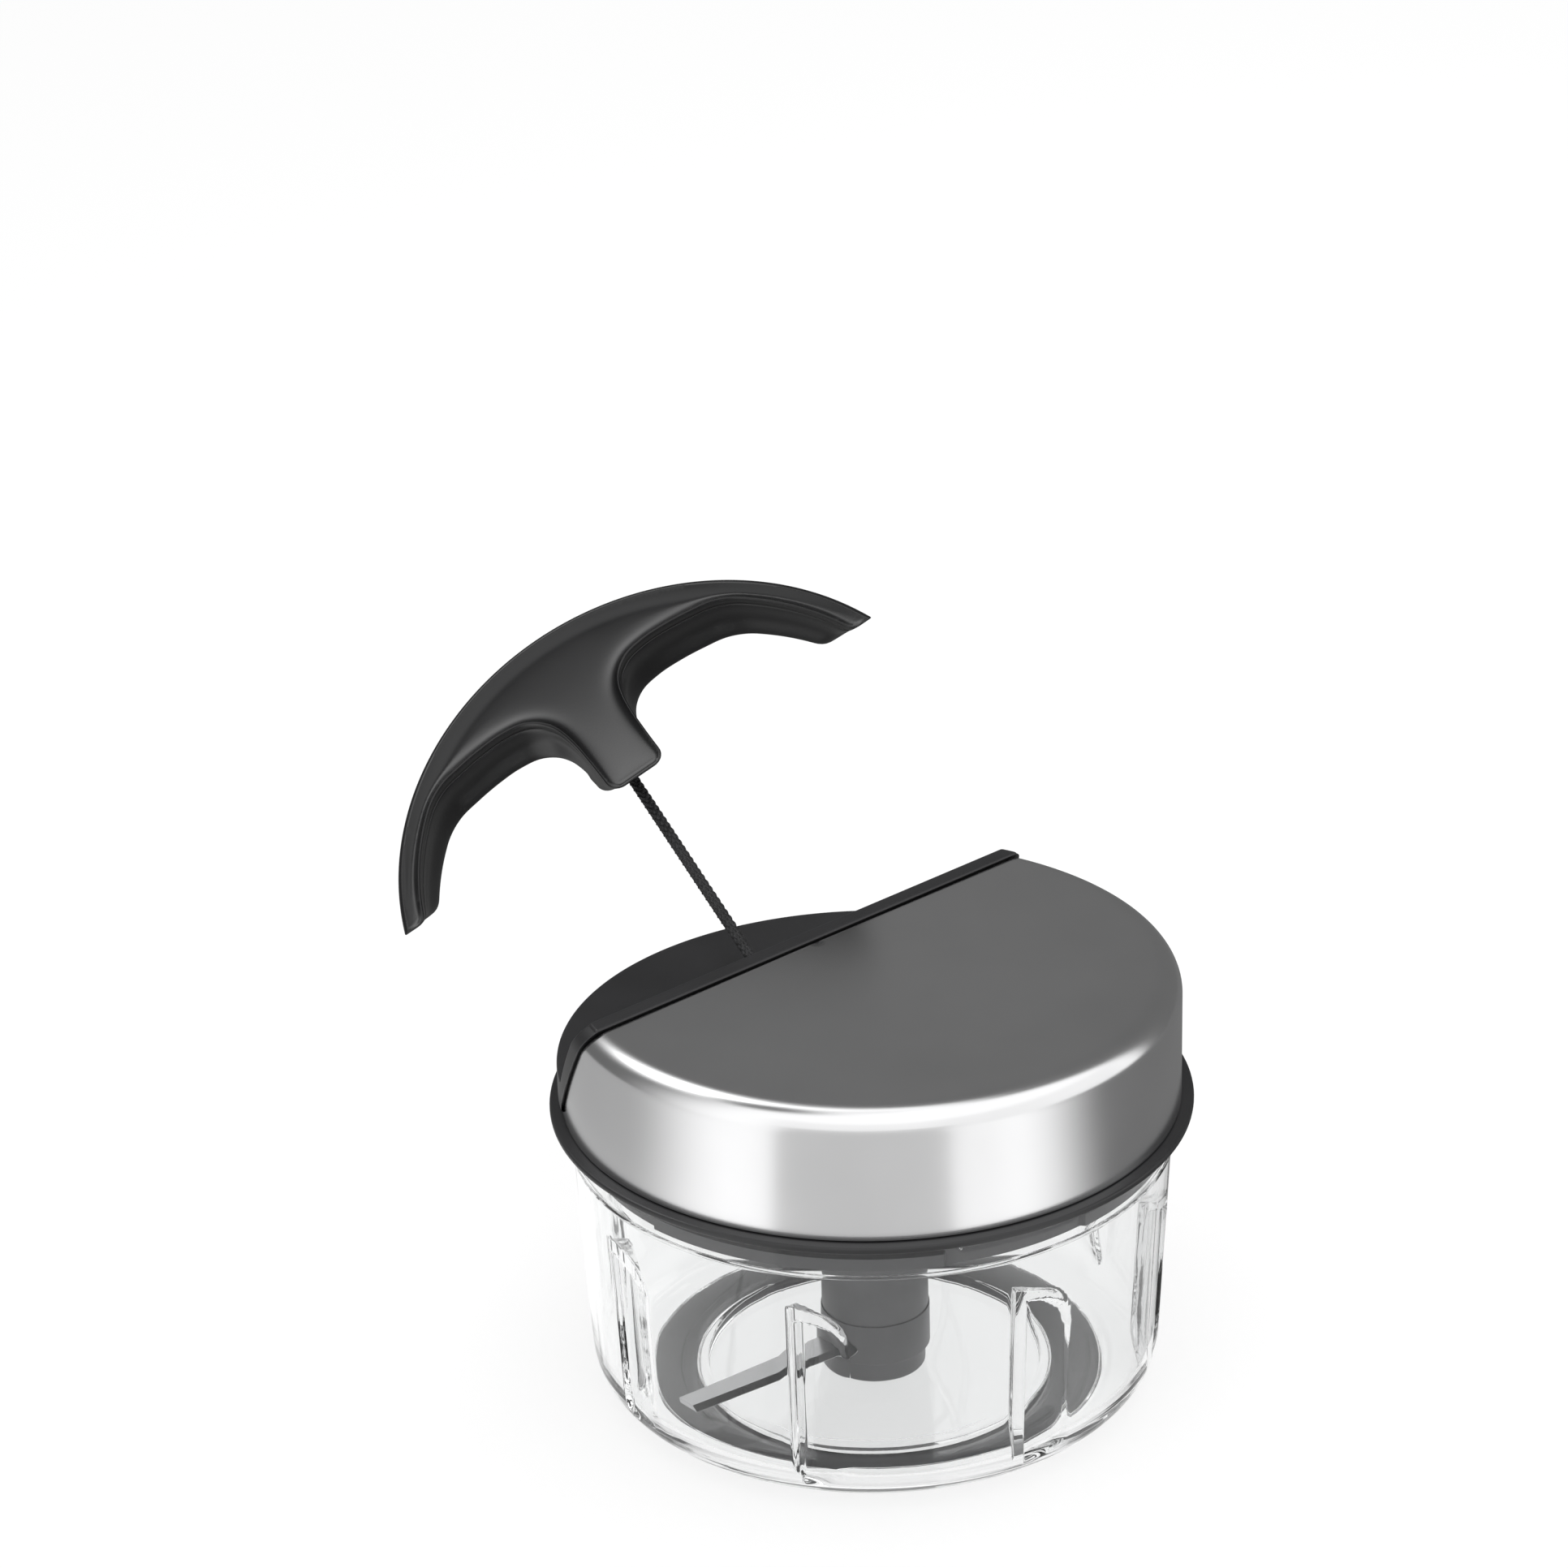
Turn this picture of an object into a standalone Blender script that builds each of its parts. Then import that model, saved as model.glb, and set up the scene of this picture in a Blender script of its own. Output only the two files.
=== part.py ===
"""Manual food chopper worked by a pull cord.

A clear bowl holds a tower with two blades. The lid holds a sprung cord spool whose shaft turns the tower,
and its handle, shown pulled out on the cord, stows on a platform behind the lid's straight wall.

Metres, +Z up. The origin is the centre of the bowl's foot, and the handle's side of the lid faces +Y.
"""
import bpy
import bmesh
from math import acos, atan2, cos, degrees, pi, radians, sin, sqrt, tan
from mathutils import Matrix, Vector

# Clearances
FIT = 0.0003                 # between pieces that rest on or hold each other
RUNNING = 0.0005             # between pieces that turn or slide past each other
OVERRUN = 0.004              # how far a cutter passes through the face that it opens
SINK = 0.0005                # how far a joined boss or lug starts inside what carries it
WELD = 0.000005              # points closer than this are one

# Facets of round shapes
ROUND_STEPS = 60
MIDDLE_STEPS = 32
SMALL_STEPS = 14
ARC_STEPS = 5

# Bowl
RIM_RADIUS = 0.0612
RIM_HEIGHT = 0.0620
COLLAR_HEIGHT = 0.0075
COLLAR_STEP = 0.0006
BOWL_WALL = 0.0022
WALL_TAPER = radians(3.0)
BASE_FILLET = 0.0108
FLOOR_THICKNESS = 0.0032     # over the anti-slip ring
FLOOR_WELL_STEP = 0.0025      # from the ring's groove in to the well
FLOOR_WELL_THICKNESS = 0.0012
PIN_BOSS_RADIUS = 0.0050
PIN_BOSS_HEIGHT = 0.0040     # above the well's floor
RIB_COUNT = 8
RIB_ANGLE = radians(212.4)
RIB_DEPTH = 0.0036
RIB_WIDTH = 0.0090
RIB_TOP_DROP = 0.0180        # from the rim down to the ribs' tops
RIB_WALL = 0.0019
LUG_COUNT = 4
LEDGE_SPAN = radians(24.0)
LEDGE_THICKNESS = 0.0016

# Anti-slip ring in the bowl's foot
GRIP_WIDTH = 0.0092
GRIP_LIP = 0.0013            # between the ring's groove and the foot's outer edge
GRIP_THICKNESS = 0.0013

# Blade pin, tower and blades
PIN_RADIUS = 0.0025
PIN_TOP_DROP = 0.0220        # from the rim down to the pin's tip
PIN_TIP = 0.0010
TOWER_RADIUS = 0.0110
TOWER_WAIST_RADIUS = 0.0112
TOWER_FOOT_RADIUS = 0.0102
TOWER_WAIST_TOP = 0.0150
TOWER_FOOT_TOP = 0.0060
SOCKET_RADIUS = 0.0074
SOCKET_DEPTH = 0.0065
SOCKET_RIB_WIDTH = 0.0024
SOCKET_RIB_DEPTH = 0.0022
BLADE_REACH_GAP = 0.0130     # from the blade's tip out to the rim's radius
BLADE_ROOT_WIDTH = 0.0092
BLADE_BACK_WIDTH = 0.0036    # from the middle line to the back edge
BLADE_TIP_WIDTH = 0.0066
BLADE_THICKNESS = 0.0010
BLADE_TANG_RADIUS = 0.0040
BLADE_TIP_SKEW = 0.0007
BLADE_PITCH = radians(8.0)
LOWER_BLADE_HEIGHT = 0.0088
UPPER_BLADE_HEIGHT = 0.0330
LOWER_BLADE_ANGLE = radians(176.0)

# Lid base
FLANGE_OVERHANG = 0.0038     # past the bowl's rim
FLANGE_THICKNESS = 0.0014
SKIRT_GAP = 0.0017           # between the collar and the skirt, for the lugs and ledges
SKIRT_WALL = 0.0018
LID_FLOOR_DROP = 0.0070      # from the rim down to the lid's underside
LID_FLOOR_THICKNESS = 0.0020
UPSTAND_HEIGHT = 0.0033
UPSTAND_WALL = 0.0015
LUG_SPAN = radians(60.0)
LUG_ANGLE = radians(30.85)
LUG_DEPTH = 0.0013
LUG_HEIGHT = 0.0030
SEAL_WIDTH = 0.0011
SPRING_WELL_SHARE = 0.376    # of the rim's radius
SPRING_WELL_WALL = 0.0014
BOSS_WALL = 0.0016
BOSS_RISE = 0.0035           # above the rim

# Drive shaft, bush and dog
SHAFT_RADIUS = 0.0030
BUSH_WALL = 0.0012
BUSH_FLANGE_RADIUS = 0.0062
BUSH_FLANGE_THICKNESS = 0.0011
DOG_HUB_RADIUS = 0.0048
DOG_WING_RADIUS = 0.0068
DOG_WING_WIDTH = 0.0040
DOG_WEB = 0.0007

# Cord, its exit through the sloped wall and its bend behind it
CORD_DIAMETER = 0.0022
CORD_EXIT_RISE = 0.0033      # above the platform
CORD_BEND_BACK = 0.0070
CORD_BEND_REACH = 0.0030
WINDING_INSET = 0.0030       # from the spring well in to the winding's middle line
WINDING_TURNS = 3
WINDING_POINTS = 24
WINDING_PITCH = 0.0027
EYELET_WALL = 0.0011
EYELET_LENGTH = 0.0030
EYELET_SET_BACK = 0.0012

# Cord spool, its spring and the guard round it
SPOOL_FLANGE_INSET = 0.0002   # from the spring well in to the spool's flanges
SPOOL_FLANGE = 0.0012
SPOOL_WALL = 0.0018
SPOOL_WEB = 0.0026
SPOOL_HUB_WALL = 0.0016
SPOOL_BORE_HEIGHT = 0.0085
SPOOL_NECK_WALL = 0.0029
SPOOL_NECK_HEIGHT = 0.0014
SPRING_COVER_THICKNESS = 0.0010
SPRING_TURNS = 6
SPRING_POINTS = 22
SPRING_STRIP = 0.0005
GUARD_WALL = 0.0014
GUARD_EAR_RADIUS = 0.0034
GUARD_EAR_OFFSET = 0.0038
GUARD_EAR_THICKNESS = 0.0020
GUARD_BOSS_HEIGHT = 0.0050
GUARD_SCREWS = 3
GUARD_SCREW_ANGLE = radians(30.0)

# Steel cover
COVER_OVERHANG = 0.0013      # past the bowl's rim
COVER_RISE = 0.0291          # above the rim
COVER_HEM = 0.0020           # the band that runs on round the back, under the platform
COVER_SHEET = 0.0008
COVER_SHOULDER = 0.0050
COVER_EDGE_GAP = 0.0007

# Top housing: strip, sloped wall and handle platform
STRIP_RISE = 0.0008          # above the steel cover
STRIP_EDGE_SHARE = 0.3219    # the strip's far edge, where the sloped wall begins, of the rim's radius
STRIP_WIDTH = 0.0037
WALL_SLOPE = radians(35.0)   # the wall's lean from vertical
PLATFORM_RISE = 0.0112       # above the rim
PLATFORM_THICKNESS = 0.0020
HOUSING_PROUD = 0.0007        # past the steel cover
HOUSING_SHOULDER = 0.0055
HOUSING_WALL = 0.0028
LINER_WALL = 0.0015
WALL_OVERLAP = 0.0010
POST_RADIUS = 0.0032
POST_HOLE_DEPTH = 0.0080
POST_SOCKET_RADIUS = 0.0042
POST_SOCKET_HEIGHT = 0.0020
STEEL_POST_SHARE = (0.343, -0.595)       # of the rim's radius
PLATFORM_POST_SHARE = (0.556, 0.596)

# Screws
SCREW_RADIUS = 0.0013
SCREW_HEAD_RADIUS = 0.0027
SCREW_HEAD_HEIGHT = 0.0014
SPOOL_SCREW_HEAD_RADIUS = 0.0046
SPOOL_SCREW_HEAD_HEIGHT = 0.0019
SPOOL_SCREW_LENGTH = 0.0065

# Handle, in its own axes: X along the straight side, Y outward, Z up from the top face
HANDLE_SET_BACK = 0.0008     # behind the housing's side
HANDLE_CHORD_INSET = 0.0015  # from the strip's far edge in to the handle's straight side
HANDLE_ARM_WIDTH = 0.0050
HANDLE_DEPTH = 0.0160
HANDLE_TOP_THICKNESS = 0.0022
STEM_HALF_WIDTH = 0.00675
STEM_REACH = 0.0022          # the cord boss, below the lower shell
STEM_CORNER = 0.0030
ARM_INNER_END = radians(46.0)
SHOULDER_SHARES = (          # inner edge from arm to stem, as shares of the handle's radius
    (0.552, 0.716), (0.474, 0.733), (0.385, 0.745), (0.288, 0.747),
    (0.212, 0.731), (0.164, 0.695), (0.136, 0.650), (0.122, 0.600),
)
KNOT_RADIUS = 0.0015
KNOT_INSET = 0.0029          # above the cord boss's underside
KNOT_SET_IN = 0.0023         # behind the stem's face
HANDLE_SCREW_SHARE = (0.353, 0.857)      # of the handle's radius
HANDLE_BOSS_RADIUS = 0.0026
HANDLE_BOSS_WEB = 0.0035     # between the boss and the counterbore
HANDLE_COUNTERBORE = 0.0038
HANDLE_SCREW_SHY = 0.0015    # short of the top shell's underside

# Handle places: stowed on the platform, and pulled out as shown
STOW_GAP = 0.0005
HANDLE_DRAWN = Vector((0.01796, 0.06451, 0.02194))    # from the cord's exit to the knot, pulled out
HANDLE_TILT = radians(39.5)
HANDLE_TILT_AXIS = Vector((0.5313, -0.7724, -0.3492)).normalized()


def clear_scene():
    for item in list(bpy.data.objects):
        bpy.data.objects.remove(item, do_unlink=True)


def new_collection(name):
    collection = bpy.data.collections.new(name)
    bpy.context.scene.collection.children.link(collection)
    return collection


clear_scene()
PARTS = new_collection("food_chopper")
CUTTERS = new_collection("cutters")


def material(name, colour, roughness, metallic=0.0, transmission=0.0):
    """A Principled material with the part's own colour, roughness and metallic value."""
    made = bpy.data.materials.new(name)
    made.use_nodes = True
    shader = made.node_tree.nodes["Principled BSDF"]
    shader.inputs["Base Color"].default_value = (*colour, 1.0)
    shader.inputs["Roughness"].default_value = roughness
    shader.inputs["Metallic"].default_value = metallic
    shader.inputs["Transmission Weight"].default_value = transmission
    return made


# Mesh tools

def mesh_object(name, mesh, collection=CUTTERS):
    made = bpy.data.objects.new(name, mesh)
    collection.objects.link(made)
    return made


def bmesh_object(name, shape, matrix=Matrix()):
    """An object from a bmesh, with the matrix applied to its points."""
    bmesh.ops.transform(shape, matrix=matrix, verts=shape.verts)
    mesh = bpy.data.meshes.new(name)
    shape.to_mesh(mesh)
    shape.free()
    return mesh_object(name, mesh)


def evaluated_mesh(item):
    """The object's mesh with its modifiers applied and its doubles merged, in world space."""
    bpy.context.view_layer.update()
    graph = bpy.context.evaluated_depsgraph_get()
    mesh = bpy.data.meshes.new_from_object(item.evaluated_get(graph))
    mesh.transform(item.matrix_world)
    shape = bmesh.new()
    shape.from_mesh(mesh)
    bmesh.ops.remove_doubles(shape, verts=shape.verts, dist=WELD)
    shape.to_mesh(mesh)
    shape.free()
    return mesh


def arc(centre, radius, start, end, steps=ARC_STEPS):
    """Points along an arc in its plane, from one angle to another, both ends included."""
    angles = [start + (end - start) * step / steps for step in range(steps + 1)]
    return [(centre[0] + radius * cos(angle), centre[1] + radius * sin(angle)) for angle in angles]


def turned(name, profile, closed, steps=ROUND_STEPS):
    """A profile of (radius, height) points turned about Z. It runs down its outer side."""
    mesh = bpy.data.meshes.new(name)
    edges = [(index, index + 1) for index in range(len(profile) - 1)]
    if closed:
        edges.append((len(profile) - 1, 0))
    mesh.from_pydata([(radius, 0, height) for radius, height in profile], edges, [])
    made = mesh_object(name, mesh)
    screw = made.modifiers.new("turn", 'SCREW')
    screw.steps = steps
    screw.render_steps = steps
    screw.use_merge_vertices = True
    screw.merge_threshold = WELD
    return made


def plate(name, outline, bottom, top, matrix=Matrix()):
    """A flat outline of (x, y) points, extruded from bottom to top, then moved by the matrix."""
    curve = bpy.data.curves.new(name, 'CURVE')
    curve.dimensions = '2D'
    curve.fill_mode = 'BOTH'
    curve.extrude = (top - bottom) / 2
    spline = curve.splines.new('POLY')
    spline.points.add(len(outline) - 1)
    for point, (x, y) in zip(spline.points, outline):
        point.co = (x, y, 0, 1)
    spline.use_cyclic_u = True
    flat = bpy.data.objects.new(name + "_outline", curve)
    CUTTERS.objects.link(flat)
    flat.matrix_world = matrix @ Matrix.Translation((0, 0, (bottom + top) / 2))
    made = mesh_object(name, evaluated_mesh(flat))
    bpy.data.objects.remove(flat, do_unlink=True)
    return made


def side_plate(name, outline, half_width, matrix=Matrix()):
    """An outline of (y, z) points, extruded to both sides along X."""
    upright = Matrix(((0, 0, 1, 0), (1, 0, 0, 0), (0, 1, 0, 0), (0, 0, 0, 1)))
    return plate(name, outline, -half_width, half_width, matrix @ upright)


def rod(name, radius, bottom, top, centre=(0, 0), steps=SMALL_STEPS, matrix=Matrix()):
    """An upright cylinder between two heights."""
    shape = bmesh.new()
    bmesh.ops.create_cone(shape, cap_ends=True, segments=steps, radius1=radius, radius2=radius,
                          depth=top - bottom)
    return bmesh_object(name, shape, matrix @ Matrix.Translation((*centre, (bottom + top) / 2)))


def box(name, low, high, matrix=Matrix()):
    """A box between two corners."""
    low, high = Vector(low), Vector(high)
    shape = bmesh.new()
    bmesh.ops.create_cube(shape, size=1.0)
    scaled = Matrix.Diagonal((*(high - low), 1.0))
    return bmesh_object(name, shape, matrix @ Matrix.Translation((low + high) / 2) @ scaled)


def ball(name, radius, centre, steps=SMALL_STEPS):
    shape = bmesh.new()
    bmesh.ops.create_uvsphere(shape, u_segments=steps, v_segments=steps // 2, radius=radius)
    return bmesh_object(name, shape, Matrix.Translation(centre))


def cord_tube(name, points, rings=1):
    """A round cord along points, with filled ends."""
    curve = bpy.data.curves.new(name, 'CURVE')
    curve.dimensions = '3D'
    curve.bevel_depth = CORD_DIAMETER / 2
    curve.bevel_resolution = rings
    curve.use_fill_caps = True
    spline = curve.splines.new('POLY')
    spline.points.add(len(points) - 1)
    for target, point in zip(spline.points, points):
        target.co = (*point, 1)
    guide = bpy.data.objects.new(name + "_line", curve)
    CUTTERS.objects.link(guide)
    made = mesh_object(name, evaluated_mesh(guide))
    bpy.data.objects.remove(guide, do_unlink=True)
    return made


def grouped(name, pieces):
    """Several separate solids as one object, for a Boolean."""
    shape = bmesh.new()
    for piece in pieces:
        shape.from_mesh(evaluated_mesh(piece))
        bpy.data.objects.remove(piece, do_unlink=True)
    return bmesh_object(name, shape)


def combine(item, tool, operation):
    """A Boolean modifier with a guide object that the render leaves out."""
    tool.hide_render = True
    tool.display_type = 'WIRE'
    step = item.modifiers.new(operation.lower() + "_" + tool.name, 'BOOLEAN')
    step.operation = operation
    step.object = tool
    return item


def join(item, *tools):
    for tool in tools:
        combine(item, tool, 'UNION')
    return item


def cut(item, *tools):
    for tool in tools:
        combine(item, tool, 'DIFFERENCE')
    return item


def keep(item, finish, parent=None):
    """Moves a finished piece into the parts, with its material, smooth shading and parent."""
    item.data.materials.append(finish)
    mesh = evaluated_mesh(item)
    mesh.shade_smooth()
    mesh.set_sharp_from_angle(angle=radians(30.0))
    item.modifiers.clear()
    item.data = mesh
    CUTTERS.objects.unlink(item)
    PARTS.objects.link(item)
    item.parent = parent
    return item


def turn(angle):
    return Matrix.Rotation(angle, 4, 'Z')


def round_places(count, first):
    return [first + 2 * pi * index / count for index in range(count)]


def mirrored(place):
    return [(side * place[0], place[1]) for side in (1, -1)]


def sector(inner, outer, middle, span, steps=ARC_STEPS):
    """The outline of a ring's sector, centred on an angle."""
    start, end = middle - span / 2, middle + span / 2
    return arc((0, 0), outer, start, end, steps) + arc((0, 0), inner, end, start, steps)


# Shared heights, worked out from the driving sizes
RIB_TOP = RIM_HEIGHT - RIB_TOP_DROP
PIN_TOP = RIM_HEIGHT - PIN_TOP_DROP
LID_FLOOR_BOTTOM = RIM_HEIGHT - LID_FLOOR_DROP
BOSS_TOP = RIM_HEIGHT + BOSS_RISE
COVER_TOP = RIM_HEIGHT + COVER_RISE
STRIP_TOP = COVER_TOP + STRIP_RISE
STRIP_EDGE = RIM_RADIUS * STRIP_EDGE_SHARE
PLATFORM_TOP = RIM_HEIGHT + PLATFORM_RISE
CORD_EXIT_HEIGHT = PLATFORM_TOP + CORD_EXIT_RISE
HANDLE_CHORD = STRIP_EDGE - HANDLE_CHORD_INSET
COLLAR_FOOT = RIM_HEIGHT - COLLAR_HEIGHT
COLLAR_INNER_RADIUS = RIM_RADIUS - BOWL_WALL
BODY_TOP_RADIUS = RIM_RADIUS - COLLAR_STEP
FOOT_RADIUS = BODY_TOP_RADIUS - (COLLAR_FOOT - BASE_FILLET) * tan(WALL_TAPER) - BASE_FILLET
GRIP_OUTER_RADIUS = FOOT_RADIUS - GRIP_LIP
GRIP_INNER_RADIUS = GRIP_OUTER_RADIUS - GRIP_WIDTH
FLOOR_WELL_RADIUS = GRIP_INNER_RADIUS - FLOOR_WELL_STEP
BLADE_RADIUS = RIM_RADIUS - BLADE_REACH_GAP
FLANGE_RADIUS = RIM_RADIUS + FLANGE_OVERHANG
SKIRT_RADIUS = COLLAR_INNER_RADIUS - SKIRT_GAP
SPRING_WELL_RADIUS = RIM_RADIUS * SPRING_WELL_SHARE
WINDING_RADIUS = SPRING_WELL_RADIUS - WINDING_INSET
SPOOL_FLANGE_RADIUS = SPRING_WELL_RADIUS - SPOOL_FLANGE_INSET
COVER_RADIUS = RIM_RADIUS + COVER_OVERHANG
HOUSING_RADIUS = COVER_RADIUS + HOUSING_PROUD
HANDLE_RADIUS = HOUSING_RADIUS - HANDLE_SET_BACK
STEEL_SIDE_POST = [RIM_RADIUS * share for share in STEEL_POST_SHARE]
PLATFORM_SIDE_POST = [RIM_RADIUS * share for share in PLATFORM_POST_SHARE]
HANDLE_SCREW_PLACE = [HANDLE_RADIUS * share for share in HANDLE_SCREW_SHARE]
FLANGE_BOTTOM = RIM_HEIGHT + FIT
FLANGE_TOP = FLANGE_BOTTOM + FLANGE_THICKNESS
LID_FLOOR_TOP = LID_FLOOR_BOTTOM + LID_FLOOR_THICKNESS
LUG_BOTTOM = LID_FLOOR_BOTTOM + FIT
LUG_TOP = LUG_BOTTOM + LUG_HEIGHT
LEDGE_TOP = LUG_TOP + FIT + LEDGE_THICKNESS
WALL_RUN = tan(WALL_SLOPE)
CORD_RADIUS = CORD_DIAMETER / 2
SCREW_HOLE = SCREW_RADIUS + FIT


def sloped_y(z, edge=STRIP_EDGE, top=STRIP_TOP):
    """Where the lid's sloped wall, or a plane beside it, stands at a height."""
    return edge + (top - z) * WALL_RUN


# Places on the cord's line
CORD_EXIT = Vector((0, sloped_y(CORD_EXIT_HEIGHT), CORD_EXIT_HEIGHT))
HANDLE_OUT = CORD_EXIT + HANDLE_DRAWN
CORD_LINE = HANDLE_DRAWN.normalized()
CORD_BEND = CORD_EXIT - CORD_LINE * CORD_BEND_BACK
ALONG_CORD = CORD_LINE.to_track_quat('Z', 'Y').to_matrix().to_4x4()

# The winding's free end, where the cord's straight run touches the winding's circle
BEND_ANGLE = atan2(CORD_BEND.y, CORD_BEND.x)
BEND_DISTANCE = sqrt(CORD_BEND.x ** 2 + CORD_BEND.y ** 2)
LEAVING_ANGLE = BEND_ANGLE + acos(WINDING_RADIUS / BEND_DISTANCE)
LEAVING_POINT = Vector((WINDING_RADIUS * cos(LEAVING_ANGLE), WINDING_RADIUS * sin(LEAVING_ANGLE),
                        CORD_BEND.z))
LEAVING_LINE = (CORD_BEND - LEAVING_POINT).normalized()

# Spool stack, from the cord's height down to the spring
SPOOL_GROOVE_TOP = CORD_BEND.z + CORD_RADIUS + RUNNING
SPOOL_GROOVE_BOTTOM = CORD_BEND.z - WINDING_TURNS * WINDING_PITCH - CORD_RADIUS - RUNNING
SPOOL_TOP = SPOOL_GROOVE_TOP + SPOOL_FLANGE
SPOOL_BOTTOM = SPOOL_GROOVE_BOTTOM - SPOOL_FLANGE
SPOOL_CORE_RADIUS = WINDING_RADIUS * cos(pi / WINDING_POINTS) - CORD_RADIUS - FIT
SPOOL_NECK_TOP = SPOOL_TOP + SPOOL_NECK_HEIGHT
SPRING_COVER_TOP = SPOOL_BOTTOM - RUNNING
SPRING_COVER_BOTTOM = SPRING_COVER_TOP - SPRING_COVER_THICKNESS
SPRING_WELL_TOP = SPRING_COVER_BOTTOM - FIT
BUSH_OUTER_RADIUS = SHAFT_RADIUS + FIT + BUSH_WALL
BOSS_OUTER_RADIUS = BUSH_OUTER_RADIUS + FIT + BOSS_WALL
HUB_INNER_RADIUS = BUSH_FLANGE_RADIUS + RUNNING
HUB_OUTER_RADIUS = HUB_INNER_RADIUS + SPOOL_HUB_WALL
HUB_BOTTOM = LID_FLOOR_TOP + RUNNING
WELL_OUTER_RADIUS = SPRING_WELL_RADIUS + SPRING_WELL_WALL
GUARD_INNER_RADIUS = WELL_OUTER_RADIUS + RUNNING
GUARD_OUTER_RADIUS = GUARD_INNER_RADIUS + GUARD_WALL
GUARD_BOTTOM = LID_FLOOR_TOP + FIT
GUARD_TOP = CORD_BEND.z - CORD_RADIUS - RUNNING
GUARD_SCREW_RADIUS = GUARD_OUTER_RADIUS + GUARD_EAR_OFFSET
GUARD_BOSS_TOP = LID_FLOOR_TOP + GUARD_BOSS_HEIGHT
EAR_BOTTOM = GUARD_BOSS_TOP + FIT
EAR_TOP = EAR_BOTTOM + GUARD_EAR_THICKNESS
POSTS = mirrored(STEEL_SIDE_POST) + mirrored(PLATFORM_SIDE_POST)
POST_BOTTOM = LID_FLOOR_TOP + POST_SOCKET_HEIGHT + FIT
HEAD_RECESS = SCREW_HEAD_HEIGHT + 2 * FIT
DOG_TOP = LID_FLOOR_BOTTOM - FIT
TOWER_TOP = LID_FLOOR_BOTTOM - RUNNING
SOCKET_BOTTOM = TOWER_TOP - SOCKET_DEPTH
DOG_BOTTOM = SOCKET_BOTTOM + RUNNING
SHAFT_BOTTOM = DOG_BOTTOM + DOG_WEB + FIT
SHAFT_TOP = SPOOL_NECK_TOP - FIT
PIN_BOSS_TOP = FLOOR_WELL_THICKNESS + PIN_BOSS_HEIGHT
TOWER_BOTTOM = FLOOR_WELL_THICKNESS + FIT

# Handle places
STEM_DEPTH = HANDLE_DEPTH + STEM_REACH
KNOT_DEPTH = STEM_DEPTH - KNOT_INSET
KNOT_Y = HANDLE_CHORD + KNOT_DEPTH * WALL_RUN + KNOT_SET_IN / cos(WALL_SLOPE)
KNOT_IN_HANDLE = Vector((0, KNOT_Y, -KNOT_DEPTH))
STOWED_HANDLE = Vector((0, STRIP_EDGE + STOW_GAP / cos(WALL_SLOPE) - HANDLE_CHORD, STRIP_TOP))
KNOT_STOWED = STOWED_HANDLE + KNOT_IN_HANDLE
TILTED = Matrix.Rotation(HANDLE_TILT, 4, HANDLE_TILT_AXIS)

# Materials
CLEAR = material("clear_plastic", (0.93, 0.94, 0.95), 0.05, transmission=0.9)
BLACK = material("black_plastic", (0.025, 0.025, 0.027), 0.45)
GREY = material("dark_grey_plastic", (0.07, 0.07, 0.075), 0.40)
RUBBER = material("grip_rubber", (0.09, 0.09, 0.095), 0.80)
STEEL = material("brushed_steel", (0.60, 0.60, 0.60), 0.30, metallic=1.0)
BRIGHT = material("polished_steel", (0.70, 0.70, 0.71), 0.18, metallic=1.0)
SPRING = material("spring_steel", (0.32, 0.33, 0.36), 0.35, metallic=1.0)
BRASS = material("bronze_bush", (0.55, 0.38, 0.18), 0.40, metallic=1.0)
WHITE = material("natural_plastic", (0.75, 0.74, 0.70), 0.45)
BRAID = material("black_braid", (0.02, 0.02, 0.022), 0.75)


# Bowl

def wall_radius(z):
    """The bowl's outer radius below the collar."""
    return BODY_TOP_RADIUS - (COLLAR_FOOT - z) * tan(WALL_TAPER)


def bowl_profile():
    """Up the inside from the pin's seat, over the rim, down the outside and in under the foot."""
    inner_fillet = BASE_FILLET - BOWL_WALL
    inner_centre = FLOOR_THICKNESS + inner_fillet
    inner_flat = wall_radius(inner_centre) - BOWL_WALL - inner_fillet
    seat = PIN_RADIUS + FIT
    recess = GRIP_THICKNESS + FIT
    points = [(0, FLOOR_WELL_THICKNESS), (seat, FLOOR_WELL_THICKNESS), (seat, PIN_BOSS_TOP)]
    points += [(PIN_BOSS_RADIUS, PIN_BOSS_TOP), (PIN_BOSS_RADIUS, FLOOR_WELL_THICKNESS)]
    points += [(FLOOR_WELL_RADIUS, FLOOR_WELL_THICKNESS), (FLOOR_WELL_RADIUS, FLOOR_THICKNESS)]
    points += arc((inner_flat, inner_centre), inner_fillet, -pi / 2, 0)
    points += [(BODY_TOP_RADIUS - BOWL_WALL, COLLAR_FOOT), (COLLAR_INNER_RADIUS, COLLAR_FOOT)]
    points += [(COLLAR_INNER_RADIUS, RIM_HEIGHT), (RIM_RADIUS, RIM_HEIGHT)]
    points += [(RIM_RADIUS, COLLAR_FOOT), (BODY_TOP_RADIUS, COLLAR_FOOT)]
    points += arc((FOOT_RADIUS, BASE_FILLET), BASE_FILLET, 0, -pi / 2)
    points += [(GRIP_OUTER_RADIUS + FIT, 0), (GRIP_OUTER_RADIUS + FIT, recess)]
    points += [(GRIP_INNER_RADIUS - FIT, recess), (GRIP_INNER_RADIUS - FIT, 0), (0, 0)]
    return points


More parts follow.
